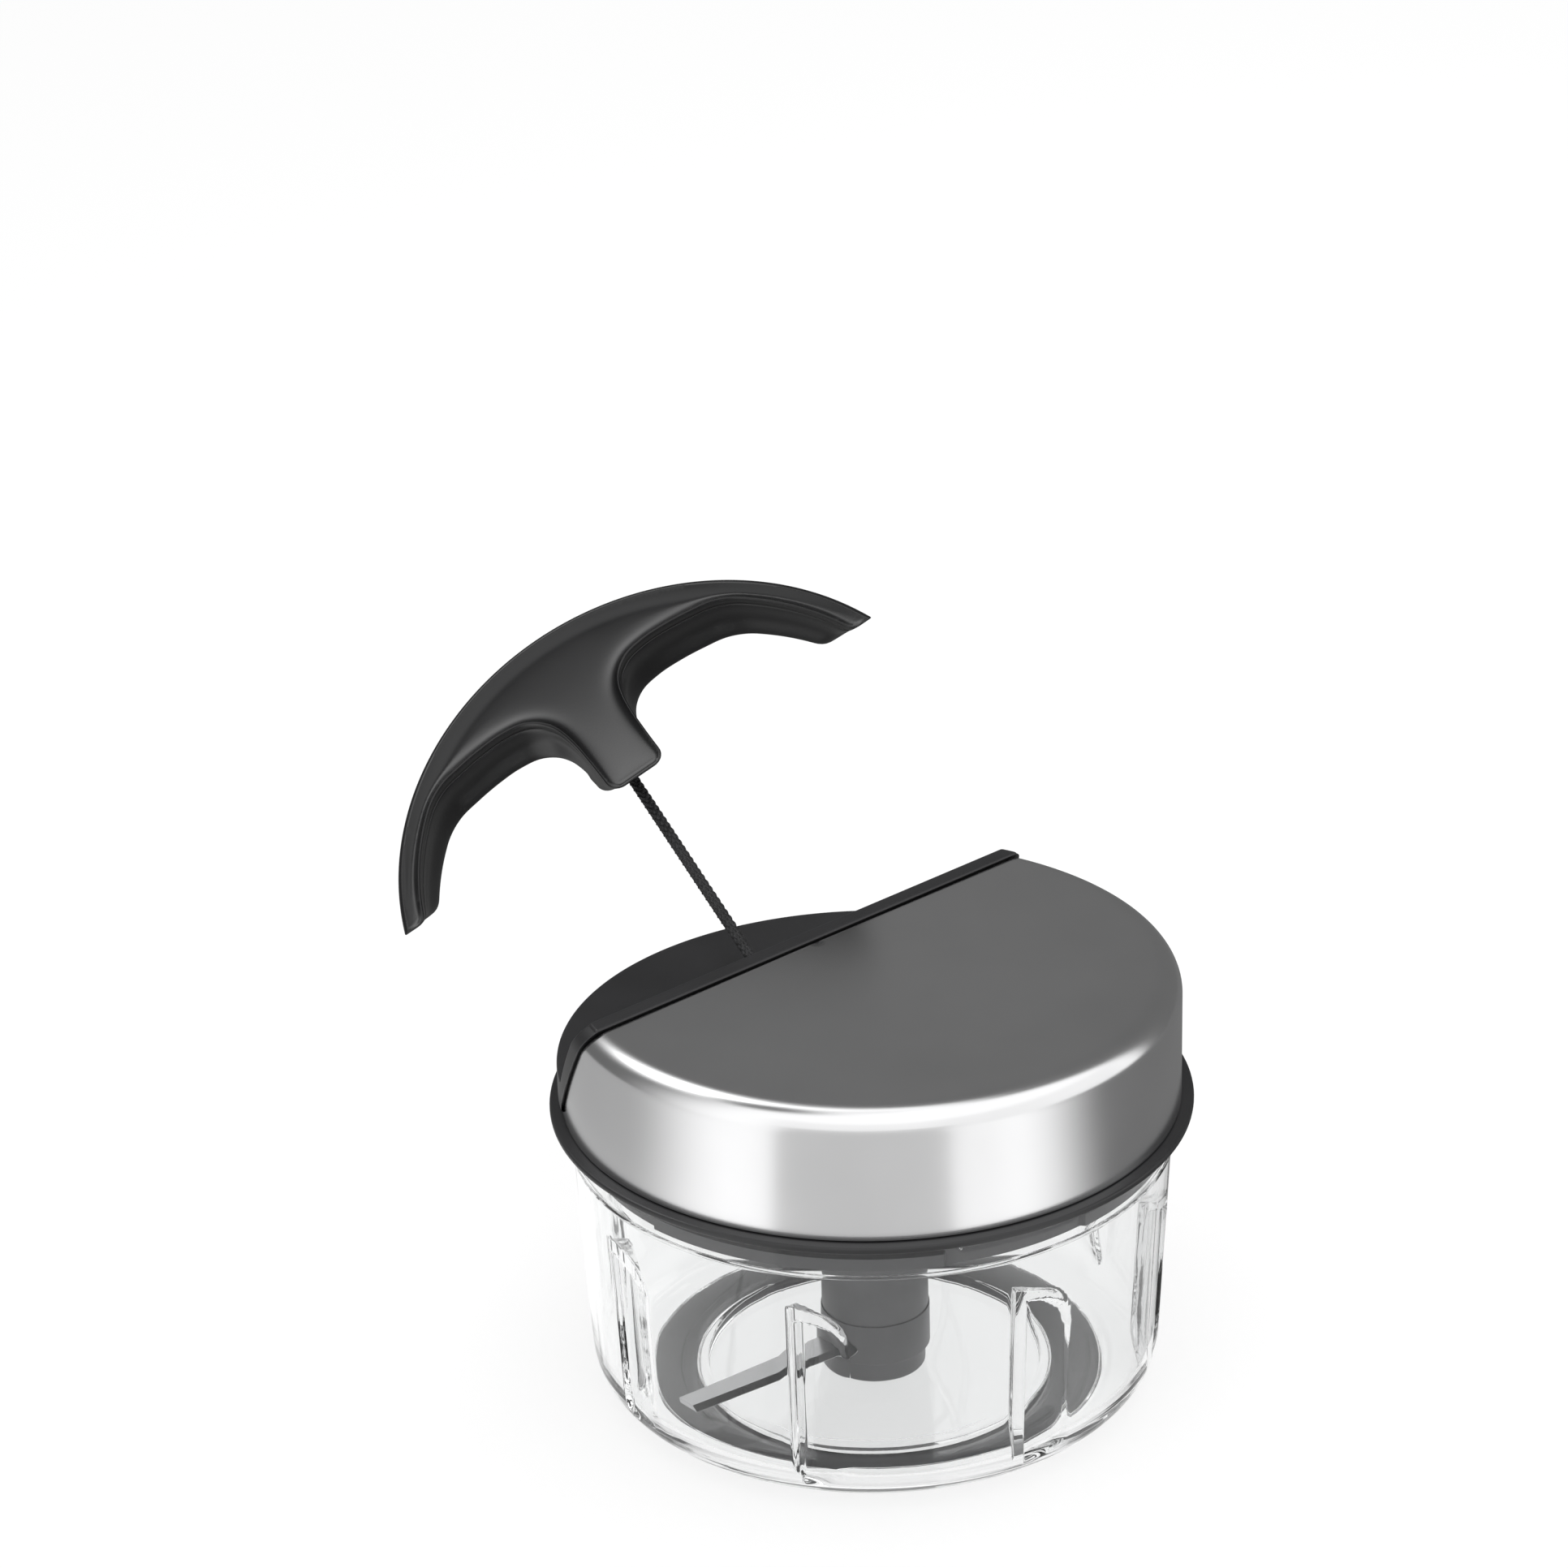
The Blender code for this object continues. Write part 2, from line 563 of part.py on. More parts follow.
def rib_limit():
    """The space inside half the wall's thickness, which keeps the ribs off the bowl's outside."""
    inset = BOWL_WALL / 2
    top = COLLAR_FOOT
    points = [(0, top), (wall_radius(top) - inset, top)]
    points += arc((FOOT_RADIUS, BASE_FILLET), BASE_FILLET - inset, 0, -pi / 2)
    points += [(0, inset)]
    return turned("rib_limit", points, closed=False)


def rib_matrix(angle):
    """Stands a rib's prism against the tapered wall at an angle round the bowl."""
    lean = Matrix.Translation((BODY_TOP_RADIUS, 0, COLLAR_FOOT))
    return turn(angle) @ lean @ Matrix.Rotation(WALL_TAPER, 4, 'Y')


def rib_prism(name, outline, top, angle):
    """An outline measured from the wall's outer face, from below the foot up to a height."""
    return plate(name, outline, -COLLAR_FOOT - OVERRUN, top - COLLAR_FOOT, rib_matrix(angle))


def groove_outline():
    """A steep face on one side and a gentle ramp back to the wall on the other."""
    ramp_end = sqrt(BODY_TOP_RADIUS ** 2 - RIB_WIDTH ** 2) - BODY_TOP_RADIUS
    slope = (ramp_end + RIB_DEPTH) / RIB_WIDTH
    past = RIB_WIDTH + OVERRUN
    return [(-RIB_DEPTH, 0), (-RIB_DEPTH + slope * past, past), (OVERRUN, past), (OVERRUN, 0)]


def baffle_outline():
    """The groove's wall on the inside, one rib wall thick."""
    inner = -RIB_DEPTH - RIB_WALL
    ramp_end = sqrt(BODY_TOP_RADIUS ** 2 - RIB_WIDTH ** 2) - BODY_TOP_RADIUS - RIB_WALL
    return [(inner, -RIB_WALL), (0, -RIB_WALL), (0, RIB_WIDTH), (ramp_end, RIB_WIDTH), (inner, 0)]


def make_bowl():
    bowl = turned("bowl", bowl_profile(), closed=False)
    angles = round_places(RIB_COUNT, RIB_ANGLE)
    baffles = grouped("rib_baffles", [
        rib_prism("baffle", baffle_outline(), RIB_TOP + RIB_WALL, angle) for angle in angles])
    combine(baffles, rib_limit(), 'INTERSECT')
    grooves = grouped("rib_grooves", [
        rib_prism("groove", groove_outline(), RIB_TOP, angle) for angle in angles])
    ledge_angles = round_places(LUG_COUNT, LUG_ANGLE + pi / LUG_COUNT)
    ledge_inner = SKIRT_RADIUS + FIT
    ledges = grouped("bowl_ledges", [
        plate("ledge", sector(ledge_inner, COLLAR_INNER_RADIUS + SINK, angle, LEDGE_SPAN),
              LEDGE_TOP - LEDGE_THICKNESS, LEDGE_TOP) for angle in ledge_angles])
    join(bowl, baffles)
    cut(bowl, grooves)
    join(bowl, ledges)
    keep(bowl, CLEAR)


def ring(name, inner, outer, bottom, top, steps=ROUND_STEPS):
    """A flat ring of rectangular section."""
    profile = [(outer, top), (outer, bottom), (inner, bottom), (inner, top)]
    return turned(name, profile, closed=True, steps=steps)


def make_grip_ring():
    keep(ring("anti_slip_ring", GRIP_INNER_RADIUS, GRIP_OUTER_RADIUS, 0, GRIP_THICKNESS), RUBBER)


def make_blade_pin():
    bottom = FLOOR_WELL_THICKNESS + FIT
    profile = [(0, PIN_TOP), (PIN_RADIUS - PIN_TIP, PIN_TOP), (PIN_RADIUS, PIN_TOP - PIN_TIP),
               (PIN_RADIUS, bottom), (0, bottom)]
    keep(turned("blade_pin", profile, closed=False, steps=SMALL_STEPS), BRIGHT)


# Blade tower and blades

def blade_place(height, angle):
    return turn(angle) @ Matrix.Translation((0, 0, height)) @ Matrix.Rotation(BLADE_PITCH, 4, 'X')


def make_tower(axis):
    bore = PIN_RADIUS + FIT
    hollow = PIN_BOSS_RADIUS + RUNNING
    profile = [(0, SOCKET_BOTTOM), (SOCKET_RADIUS, SOCKET_BOTTOM), (SOCKET_RADIUS, TOWER_TOP),
               (TOWER_RADIUS, TOWER_TOP), (TOWER_RADIUS, TOWER_WAIST_TOP),
               (TOWER_WAIST_RADIUS, TOWER_WAIST_TOP), (TOWER_WAIST_RADIUS, TOWER_FOOT_TOP),
               (TOWER_FOOT_RADIUS, TOWER_FOOT_TOP), (TOWER_FOOT_RADIUS, TOWER_BOTTOM),
               (hollow, TOWER_BOTTOM), (hollow, PIN_BOSS_TOP + FIT), (bore, PIN_BOSS_TOP + FIT),
               (bore, PIN_TOP + FIT), (0, PIN_TOP + FIT)]
    tower = turned("blade_tower", profile, closed=False, steps=MIDDLE_STEPS)
    inner = SOCKET_RADIUS - SOCKET_RIB_DEPTH
    half = SOCKET_RIB_WIDTH / 2
    ribs = grouped("socket_ribs", [
        box("rib", (inner, -half, SOCKET_BOTTOM - SINK), (SOCKET_RADIUS + SINK, half, TOWER_TOP - RUNNING),
            turn(angle)) for angle in (pi / 2, -pi / 2)])
    join(tower, ribs)
    for name, height, angle in blades():
        half_height = BLADE_THICKNESS / 2 + FIT
        cut(tower, plate(name + "_slot", blade_outline(FIT), -half_height, half_height,
                         blade_place(height, angle)))
    keep(tower, GREY, axis)


def blades():
    return (("lower_blade", LOWER_BLADE_HEIGHT, LOWER_BLADE_ANGLE),
            ("upper_blade", UPPER_BLADE_HEIGHT, LOWER_BLADE_ANGLE + pi))


def blade_outline(space=0):
    """A strip that narrows to a skewed tip. A slot for it has some space all round."""
    back = -BLADE_BACK_WIDTH - space
    root = BLADE_TANG_RADIUS - space
    tip_front = BLADE_TIP_WIDTH - BLADE_BACK_WIDTH + space
    return [(root, back), (BLADE_RADIUS - BLADE_TIP_SKEW, back), (BLADE_RADIUS, tip_front),
            (root, BLADE_ROOT_WIDTH - BLADE_BACK_WIDTH + space)]


def make_blades(axis):
    half = BLADE_THICKNESS / 2
    for name, height, angle in blades():
        blade = plate(name, blade_outline(), -half, half, blade_place(height, angle))
        keep(blade, BRIGHT, axis)


# Lid base and what seals it

def lid_base_profile():
    """Down the flange and skirt, in under the floor, up the boss and out over the wells."""
    inner_skirt = SKIRT_RADIUS - SKIRT_WALL
    upstand_outer = COVER_RADIUS - COVER_SHEET - FIT - LINER_WALL - RUNNING
    upstand_inner = upstand_outer - UPSTAND_WALL
    upstand_top = FLANGE_TOP + UPSTAND_HEIGHT
    return [(FLANGE_RADIUS, FLANGE_TOP), (FLANGE_RADIUS, FLANGE_BOTTOM), (SKIRT_RADIUS, FLANGE_BOTTOM),
            (SKIRT_RADIUS, LID_FLOOR_BOTTOM), (BUSH_OUTER_RADIUS + FIT, LID_FLOOR_BOTTOM),
            (BUSH_OUTER_RADIUS + FIT, BOSS_TOP), (BOSS_OUTER_RADIUS, BOSS_TOP),
            (BOSS_OUTER_RADIUS, LID_FLOOR_TOP), (SPRING_WELL_RADIUS, LID_FLOOR_TOP),
            (SPRING_WELL_RADIUS, SPRING_WELL_TOP), (WELL_OUTER_RADIUS, SPRING_WELL_TOP),
            (WELL_OUTER_RADIUS, LID_FLOOR_TOP), (inner_skirt, LID_FLOOR_TOP), (inner_skirt, FLANGE_TOP),
            (upstand_inner, FLANGE_TOP), (upstand_inner, upstand_top), (upstand_outer, upstand_top),
            (upstand_outer, FLANGE_TOP)]


def guard_screw_places():
    return [(GUARD_SCREW_RADIUS * cos(angle), GUARD_SCREW_RADIUS * sin(angle))
            for angle in round_places(GUARD_SCREWS, GUARD_SCREW_ANGLE)]


def make_lid_base():
    base = turned("lid_base", lid_base_profile(), closed=True)
    lugs = grouped("bayonet_lugs", [
        plate("lug", sector(SKIRT_RADIUS - SINK, SKIRT_RADIUS + LUG_DEPTH, angle, LUG_SPAN, ARC_STEPS + 1),
              LUG_BOTTOM, LUG_TOP) for angle in round_places(LUG_COUNT, LUG_ANGLE)])
    below = LID_FLOOR_TOP - SINK
    bosses = [rod("boss", POST_SOCKET_RADIUS, below, LID_FLOOR_TOP + POST_SOCKET_HEIGHT, place)
              for place in POSTS]
    bosses += [rod("boss", SCREW_HEAD_RADIUS + FIT, below, GUARD_BOSS_TOP, place)
               for place in guard_screw_places()]
    holes = [rod("hole", SCREW_HOLE, LID_FLOOR_BOTTOM - OVERRUN, LID_FLOOR_TOP + OVERRUN, place)
             for place in POSTS]
    holes += [rod("hole", SCREW_HOLE, LID_FLOOR_TOP + FIT, GUARD_BOSS_TOP + OVERRUN, place)
              for place in guard_screw_places()]
    recesses = [rod("recess", SCREW_HEAD_RADIUS + FIT, LID_FLOOR_BOTTOM - OVERRUN,
                    LID_FLOOR_BOTTOM + HEAD_RECESS, place) for place in POSTS]
    join(base, lugs, grouped("base_bosses", bosses))
    cut(base, grouped("base_holes", holes), grouped("base_recesses", recesses))
    keep(base, BLACK)


def make_seal():
    inner = SKIRT_RADIUS + FIT
    seal = ring("seal_ring", inner, inner + SEAL_WIDTH, LEDGE_TOP + FIT, FLANGE_BOTTOM - FIT)
    keep(seal, RUBBER)


# Shaft, bush and dog

def make_bush():
    inner = SHAFT_RADIUS + FIT
    flange_bottom = BOSS_TOP + FIT
    flange_top = flange_bottom + BUSH_FLANGE_THICKNESS
    profile = [(BUSH_FLANGE_RADIUS, flange_top), (BUSH_FLANGE_RADIUS, flange_bottom),
               (BUSH_OUTER_RADIUS, flange_bottom), (BUSH_OUTER_RADIUS, LID_FLOOR_BOTTOM + FIT),
               (inner, LID_FLOOR_BOTTOM + FIT), (inner, flange_top)]
    keep(turned("shaft_bush", profile, closed=True, steps=SMALL_STEPS * 2), BRASS)


def make_shaft(axis):
    hole_bottom = SHAFT_TOP - SPOOL_SCREW_LENGTH - RUNNING
    profile = [(0, hole_bottom), (SCREW_HOLE, hole_bottom), (SCREW_HOLE, SHAFT_TOP),
               (SHAFT_RADIUS, SHAFT_TOP), (SHAFT_RADIUS, SHAFT_BOTTOM), (0, SHAFT_BOTTOM)]
    keep(turned("drive_shaft", profile, closed=False, steps=SMALL_STEPS * 2), BRIGHT, axis)


def make_dog(axis):
    bore = SHAFT_RADIUS + FIT
    profile = [(0, DOG_BOTTOM + DOG_WEB), (bore, DOG_BOTTOM + DOG_WEB), (bore, DOG_TOP),
               (DOG_HUB_RADIUS, DOG_TOP), (DOG_HUB_RADIUS, DOG_BOTTOM), (0, DOG_BOTTOM)]
    dog = turned("drive_dog", profile, closed=False, steps=SMALL_STEPS * 2)
    half = DOG_WING_WIDTH / 2
    wings = grouped("dog_wings", [
        box("wing", (DOG_HUB_RADIUS - SINK, -half, DOG_BOTTOM + FIT), (DOG_WING_RADIUS, half, DOG_TOP - FIT),
            turn(angle)) for angle in (0, pi)])
    keep(join(dog, wings), WHITE, axis)


# Cord spool, spring and guard

def make_spool(axis):
    bore = SHAFT_RADIUS + FIT
    neck = bore + SPOOL_NECK_WALL
    skirt = SPOOL_CORE_RADIUS - SPOOL_WALL
    web = SPOOL_TOP - SPOOL_WEB
    bore_bottom = SPOOL_TOP - SPOOL_BORE_HEIGHT
    profile = [(neck, SPOOL_NECK_TOP), (neck, SPOOL_TOP), (SPOOL_FLANGE_RADIUS, SPOOL_TOP),
               (SPOOL_FLANGE_RADIUS, SPOOL_GROOVE_TOP), (SPOOL_CORE_RADIUS, SPOOL_GROOVE_TOP),
               (SPOOL_CORE_RADIUS, SPOOL_GROOVE_BOTTOM), (SPOOL_FLANGE_RADIUS, SPOOL_GROOVE_BOTTOM),
               (SPOOL_FLANGE_RADIUS, SPOOL_BOTTOM), (skirt, SPOOL_BOTTOM), (skirt, web),
               (HUB_OUTER_RADIUS, web), (HUB_OUTER_RADIUS, HUB_BOTTOM), (HUB_INNER_RADIUS, HUB_BOTTOM),
               (HUB_INNER_RADIUS, bore_bottom), (bore, bore_bottom), (bore, SPOOL_NECK_TOP)]
    keep(turned("cord_spool", profile, closed=True, steps=MIDDLE_STEPS), WHITE, axis)


def make_spool_screw(axis):
    bottom = SPOOL_NECK_TOP + FIT
    top = bottom + SPOOL_SCREW_HEAD_HEIGHT
    shank_bottom = SHAFT_TOP - SPOOL_SCREW_LENGTH
    profile = [(0, top), (SPOOL_SCREW_HEAD_RADIUS, top), (SPOOL_SCREW_HEAD_RADIUS, bottom),
               (SCREW_RADIUS, bottom), (SCREW_RADIUS, shank_bottom), (0, shank_bottom)]
    keep(turned("spool_screw", profile, closed=False, steps=SMALL_STEPS), BRIGHT, axis)


def winding_points():
    """A single-layer helix from the leaving point down, with a straight first diameter."""
    points = [LEAVING_POINT - LEAVING_LINE * FIT, LEAVING_POINT - LEAVING_LINE * CORD_DIAMETER]
    total = WINDING_TURNS * WINDING_POINTS
    for step in range(1, total + 1):
        angle = LEAVING_ANGLE + 2 * pi * step / WINDING_POINTS
        height = CORD_BEND.z - WINDING_PITCH * step / WINDING_POINTS
        points.append(Vector((WINDING_RADIUS * cos(angle), WINDING_RADIUS * sin(angle), height)))
    return points


def least_gap(points):
    """The least distance between parts of the cord's line at least half a turn apart, less its diameter."""
    apart = WINDING_POINTS // 2
    pairs = [(one, two) for one in range(len(points)) for two in range(one + apart, len(points))]
    return min((points[one] - points[two]).length for one, two in pairs) - CORD_DIAMETER


def make_winding(axis):
    points = winding_points()
    print("winding's least gap to itself, mm:", round(least_gap(points) / 0.001, 3))
    keep(cord_tube("cord_winding", points), BRAID, axis)


def inner_cord_points():
    """From the winding straight to the bend, round it, and out along the cord's line to the exit."""
    before = CORD_BEND - LEAVING_LINE * CORD_BEND_REACH
    after = CORD_BEND + CORD_LINE * CORD_BEND_REACH
    points = [LEAVING_POINT.lerp(before, share) for share in (0, 0.25, 0.5, 0.75)]
    for step in range(ARC_STEPS + 1):
        share = step / ARC_STEPS
        points.append(before.lerp(CORD_BEND, share).lerp(CORD_BEND.lerp(after, share), share))
    points.append(CORD_EXIT)
    return points


def make_recoil_spring():
    """A flat strip wound in a spiral between the spool's hub and the spring well."""
    start = HUB_OUTER_RADIUS + FIT
    growth = (SPRING_WELL_RADIUS - FIT - SPRING_STRIP - start) / SPRING_TURNS
    inner = []
    outer = []
    for step in range(SPRING_TURNS * SPRING_POINTS + 1):
        turns = step / SPRING_POINTS
        angle = 2 * pi * turns
        radius = start + growth * turns
        inner.append((radius * cos(angle), radius * sin(angle)))
        outer.append(((radius + SPRING_STRIP) * cos(angle), (radius + SPRING_STRIP) * sin(angle)))
    strip = plate("recoil_spring", inner + outer[::-1], LID_FLOOR_TOP + RUNNING,
                  SPRING_COVER_BOTTOM - RUNNING)
    keep(strip, SPRING)


def make_spring_cover():
    keep(ring("spring_cover", HUB_OUTER_RADIUS + RUNNING, WELL_OUTER_RADIUS, SPRING_COVER_BOTTOM,
              SPRING_COVER_TOP, MIDDLE_STEPS), GREY)


def make_guard():
    guard = ring("cord_guard", GUARD_INNER_RADIUS, GUARD_OUTER_RADIUS, GUARD_BOTTOM, GUARD_TOP, MIDDLE_STEPS)
    ear = arc((GUARD_SCREW_RADIUS, 0), GUARD_EAR_RADIUS, -pi / 2, pi / 2)
    inside = GUARD_INNER_RADIUS + GUARD_WALL / 2
    ear += [(inside, GUARD_EAR_RADIUS), (inside, -GUARD_EAR_RADIUS)]
    angles = round_places(GUARD_SCREWS, GUARD_SCREW_ANGLE)
    ears = grouped("guard_ears", [plate("ear", ear, EAR_BOTTOM, EAR_TOP, turn(angle)) for angle in angles])
    holes = grouped("ear_holes", [
        rod("hole", SCREW_HOLE, EAR_BOTTOM - OVERRUN, EAR_TOP + OVERRUN, place)
        for place in guard_screw_places()])
    cut(join(guard, ears), holes)
    keep(guard, GREY)


def screw(name, place, seat, length, upward):
    """A pan-head screw. Its head lies under the seat when it points up, and on it when it points down."""
    side = 1 if upward else -1
    head = sorted((seat, seat - side * SCREW_HEAD_HEIGHT))
    shank = sorted((seat - side * SCREW_HEAD_HEIGHT / 2, seat + side * length))
    made = rod(name, SCREW_HEAD_RADIUS, *head, place)
    join(made, rod(name + "_shank", SCREW_RADIUS, *shank, place))
    return made


def make_lid_screws():
    for index, place in enumerate(guard_screw_places()):
        keep(screw("guard_screw_" + str(index + 1), place, EAR_TOP + FIT,
                   GUARD_EAR_THICKNESS + GUARD_BOSS_HEIGHT - FIT, upward=False), BRIGHT)
    seat = LID_FLOOR_BOTTOM + FIT + SCREW_HEAD_HEIGHT
    length = POST_BOTTOM + POST_HOLE_DEPTH - RUNNING - seat
    for index, place in enumerate(POSTS):
        keep(screw("housing_screw_" + str(index + 1), place, seat, length, upward=True), BRIGHT)


# Top housing and steel cover

def beside_wall(name, edge, far, low, high):
    """A block on one side of a plane parallel to the sloped wall."""
    half_width = HOUSING_RADIUS + OVERRUN
    outline = [(far, low), (sloped_y(low, edge), low), (sloped_y(high, edge), high), (far, high)]
    return side_plate(name, outline, half_width)


def domed_solid(name, radius, shoulder, bottom, top):
    """A round solid with a flat top and a rounded shoulder."""
    profile = [(0, top)] + arc((radius - shoulder, top - shoulder), shoulder, pi / 2, 0)
    return turned(name, profile + [(radius, bottom), (0, bottom)], closed=False)


def make_housing():
    low = FLANGE_TOP + FIT
    high = STRIP_TOP + OVERRUN
    far = HOUSING_RADIUS + OVERRUN
    band_top = low + COVER_HEM + FIT
    inner_edge = STRIP_EDGE - STRIP_WIDTH
    under_platform = PLATFORM_TOP - PLATFORM_THICKNESS
    liner_radius = COVER_RADIUS - COVER_SHEET - FIT
    liner_top = COVER_TOP - COVER_SHEET - FIT
    liner_shoulder = COVER_SHOULDER - COVER_SHEET - FIT
    housing = domed_solid("top_housing", HOUSING_RADIUS, HOUSING_SHOULDER, band_top, STRIP_TOP)
    cut(housing,
        beside_wall("steel_side", inner_edge, -far, low - OVERRUN, high),
        rod("platform_hollow", HOUSING_RADIUS - HOUSING_WALL, low - OVERRUN, under_platform,
            steps=ROUND_STEPS),
        side_plate("handle_recess", [(sloped_y(PLATFORM_TOP), PLATFORM_TOP), (far, PLATFORM_TOP),
                                     (far, high), (sloped_y(high), high)], far))
    liner = domed_solid("liner", liner_radius, liner_shoulder, low + FIT, liner_top)
    cut(liner,
        domed_solid("liner_hollow", liner_radius - LINER_WALL, liner_shoulder - LINER_WALL,
                    low - OVERRUN, liner_top - LINER_WALL),
        beside_wall("platform_side", inner_edge + WALL_OVERLAP, far, low - OVERRUN, high))
    roof = liner_top - LINER_WALL / 2
    heights = [roof, roof, under_platform + SINK, under_platform + SINK]
    posts = grouped("posts", [rod("post", POST_RADIUS, POST_BOTTOM, top, place)
                              for place, top in zip(POSTS, heights)])
    holes = grouped("post_holes", [rod("hole", SCREW_HOLE, POST_BOTTOM - OVERRUN,
                                       POST_BOTTOM + POST_HOLE_DEPTH, place) for place in POSTS])
    eyelet_hole = rod("eyelet_hole", CORD_RADIUS + FIT + EYELET_WALL + FIT, -CORD_BEND_BACK, OVERRUN,
                      matrix=Matrix.Translation(CORD_EXIT) @ ALONG_CORD)
    join(housing, liner, posts)
    cut(housing, holes, eyelet_hole)
    keep(housing, BLACK)


def make_eyelet():
    inner = CORD_RADIUS + FIT
    eyelet = ring("cord_eyelet", inner, inner + EYELET_WALL, -EYELET_SET_BACK - EYELET_LENGTH,
                  -EYELET_SET_BACK, SMALL_STEPS)
    eyelet.matrix_world = Matrix.Translation(CORD_EXIT) @ ALONG_CORD
    made = mesh_object("cord_eyelet", evaluated_mesh(eyelet))
    bpy.data.objects.remove(eyelet, do_unlink=True)
    made.name = "cord_eyelet"
    keep(made, GREY)


def make_cover():
    low = FLANGE_TOP + FIT
    cover = domed_solid("steel_cover", COVER_RADIUS, COVER_SHOULDER, low, COVER_TOP)
    hollow = domed_solid("cover_hollow", COVER_RADIUS - COVER_SHEET, COVER_SHOULDER - COVER_SHEET,
                         low - OVERRUN, COVER_TOP - COVER_SHEET)
    edge = STRIP_EDGE - STRIP_WIDTH - COVER_EDGE_GAP
    beyond = beside_wall("cover_side", edge, HOUSING_RADIUS + OVERRUN, low + COVER_HEM, COVER_TOP + OVERRUN)
    cut(cover, hollow, beyond)
    keep(cover, STEEL)


# Handle

def handle_outline():
    """The outer arc from tip to tip, then back along both arms' inner edges and the stem."""
    tip_angle = atan2(HANDLE_CHORD, sqrt(HANDLE_RADIUS ** 2 - HANDLE_CHORD ** 2))
    inner_radius = HANDLE_RADIUS - HANDLE_ARM_WIDTH
    inner_start = atan2(HANDLE_CHORD, sqrt(inner_radius ** 2 - HANDLE_CHORD ** 2))
    outer = arc((0, 0), HANDLE_RADIUS, tip_angle, pi - tip_angle, SMALL_STEPS * 2)
    right = arc((0, 0), inner_radius, inner_start, ARM_INNER_END)
    right += [(x * HANDLE_RADIUS, y * HANDLE_RADIUS) for x, y in SHOULDER_SHARES]
    corner_x = STEM_HALF_WIDTH - STEM_CORNER
    right += arc((corner_x, HANDLE_CHORD + STEM_CORNER), STEM_CORNER, 0, -pi / 2, ARC_STEPS - 2)
    left = [(-x, y) for x, y in right]
    return outer + left + right[::-1]


def stem_outline():
    """The deeper cord boss under the stem's front."""
    back = KNOT_Y + KNOT_RADIUS + STEM_CORNER
    corner_x = STEM_HALF_WIDTH - STEM_CORNER
    right = arc((corner_x, HANDLE_CHORD + STEM_CORNER), STEM_CORNER, -pi / 2, 0, ARC_STEPS - 2)
    right += arc((corner_x, back - STEM_CORNER), STEM_CORNER, 0, pi / 2, ARC_STEPS - 2)
    return right + [(-x, y) for x, y in right[::-1]]


def undercut(name):
    """The space on the lid's side of the handle's sloped end faces."""
    deep = STEM_DEPTH + OVERRUN
    outline = [(-OVERRUN, OVERRUN), (-OVERRUN, -deep), (HANDLE_CHORD + deep * WALL_RUN, -deep),
               (HANDLE_CHORD - OVERRUN * WALL_RUN, OVERRUN)]
    return side_plate(name, outline, HANDLE_RADIUS + OVERRUN)


def on_handle(item, finish, pivot):
    """Keeps a piece that is modelled in the handle's own axes, with the pivot on the cord's knot."""
    keep(item, finish, pivot)
    item.location = -KNOT_IN_HANDLE


def make_handle(pivot):
    seam = -HANDLE_TOP_THICKNESS
    places = mirrored(HANDLE_SCREW_PLACE)
    seat = -HANDLE_DEPTH + HANDLE_COUNTERBORE
    boss_bottom = seat + HANDLE_BOSS_WEB
    screw_length = seam - HANDLE_SCREW_SHY - seat
    top = plate("handle_top", handle_outline(), seam, 0)
    join(top, grouped("handle_bosses", [
        rod("boss", HANDLE_BOSS_RADIUS, boss_bottom, seam + SINK, place) for place in places]))
    cut(top, undercut("top_undercut"), grouped("boss_holes", [
        rod("hole", SCREW_HOLE, boss_bottom - OVERRUN, seam - SINK, place) for place in places]))
    on_handle(top, BLACK, pivot)
    body = plate("handle_body", handle_outline(), -HANDLE_DEPTH, seam - FIT)
    join(body, plate("cord_boss", stem_outline(), -STEM_DEPTH, -HANDLE_DEPTH + SINK))
    along = TILTED.inverted() @ ALONG_CORD
    mouth = rod("cord_mouth", CORD_RADIUS + FIT, -KNOT_SET_IN - OVERRUN, 0,
                matrix=Matrix.Translation(KNOT_IN_HANDLE) @ along)
    pocket = ball("knot_pocket", KNOT_RADIUS + FIT, KNOT_IN_HANDLE)
    bores = [rod("boss_seat", HANDLE_BOSS_RADIUS + FIT, boss_bottom - FIT, seam + OVERRUN, place)
             for place in places]
    bores += [rod("counterbore", SCREW_HEAD_RADIUS + FIT, -HANDLE_DEPTH - OVERRUN, seat, place)
              for place in places]
    shanks = grouped("shank_holes", [
        rod("shank_hole", SCREW_HOLE, seat - SINK, boss_bottom, place) for place in places])
    cut(body, undercut("body_undercut"), pocket, mouth, grouped("handle_bores", bores), shanks)
    on_handle(body, BLACK, pivot)
    for index, place in enumerate(places):
        made = screw("handle_screw_" + str(index + 1), place, seat - FIT, screw_length, upward=True)
        on_handle(made, BRIGHT, pivot)


def make_knot(pivot):
    keep(ball("cord_knot", KNOT_RADIUS, (0, 0, 0)), BRAID, pivot)


def make_cords():
    keep(cord_tube("inner_cord", inner_cord_points(), rings=2), BRAID)
    start = CORD_EXIT + CORD_LINE * FIT
    end = HANDLE_OUT - CORD_LINE * (KNOT_RADIUS + FIT)
    steps = SMALL_STEPS
    points = [start.lerp(end, step / steps) for step in range(steps + 1)]
    keep(cord_tube("cord_stretch", points, rings=2), BRAID)


def pivot_empty(name, matrix):
    made = bpy.data.objects.new(name, None)
    PARTS.objects.link(made)
    made.matrix_world = matrix
    bpy.context.view_layer.update()
    return made


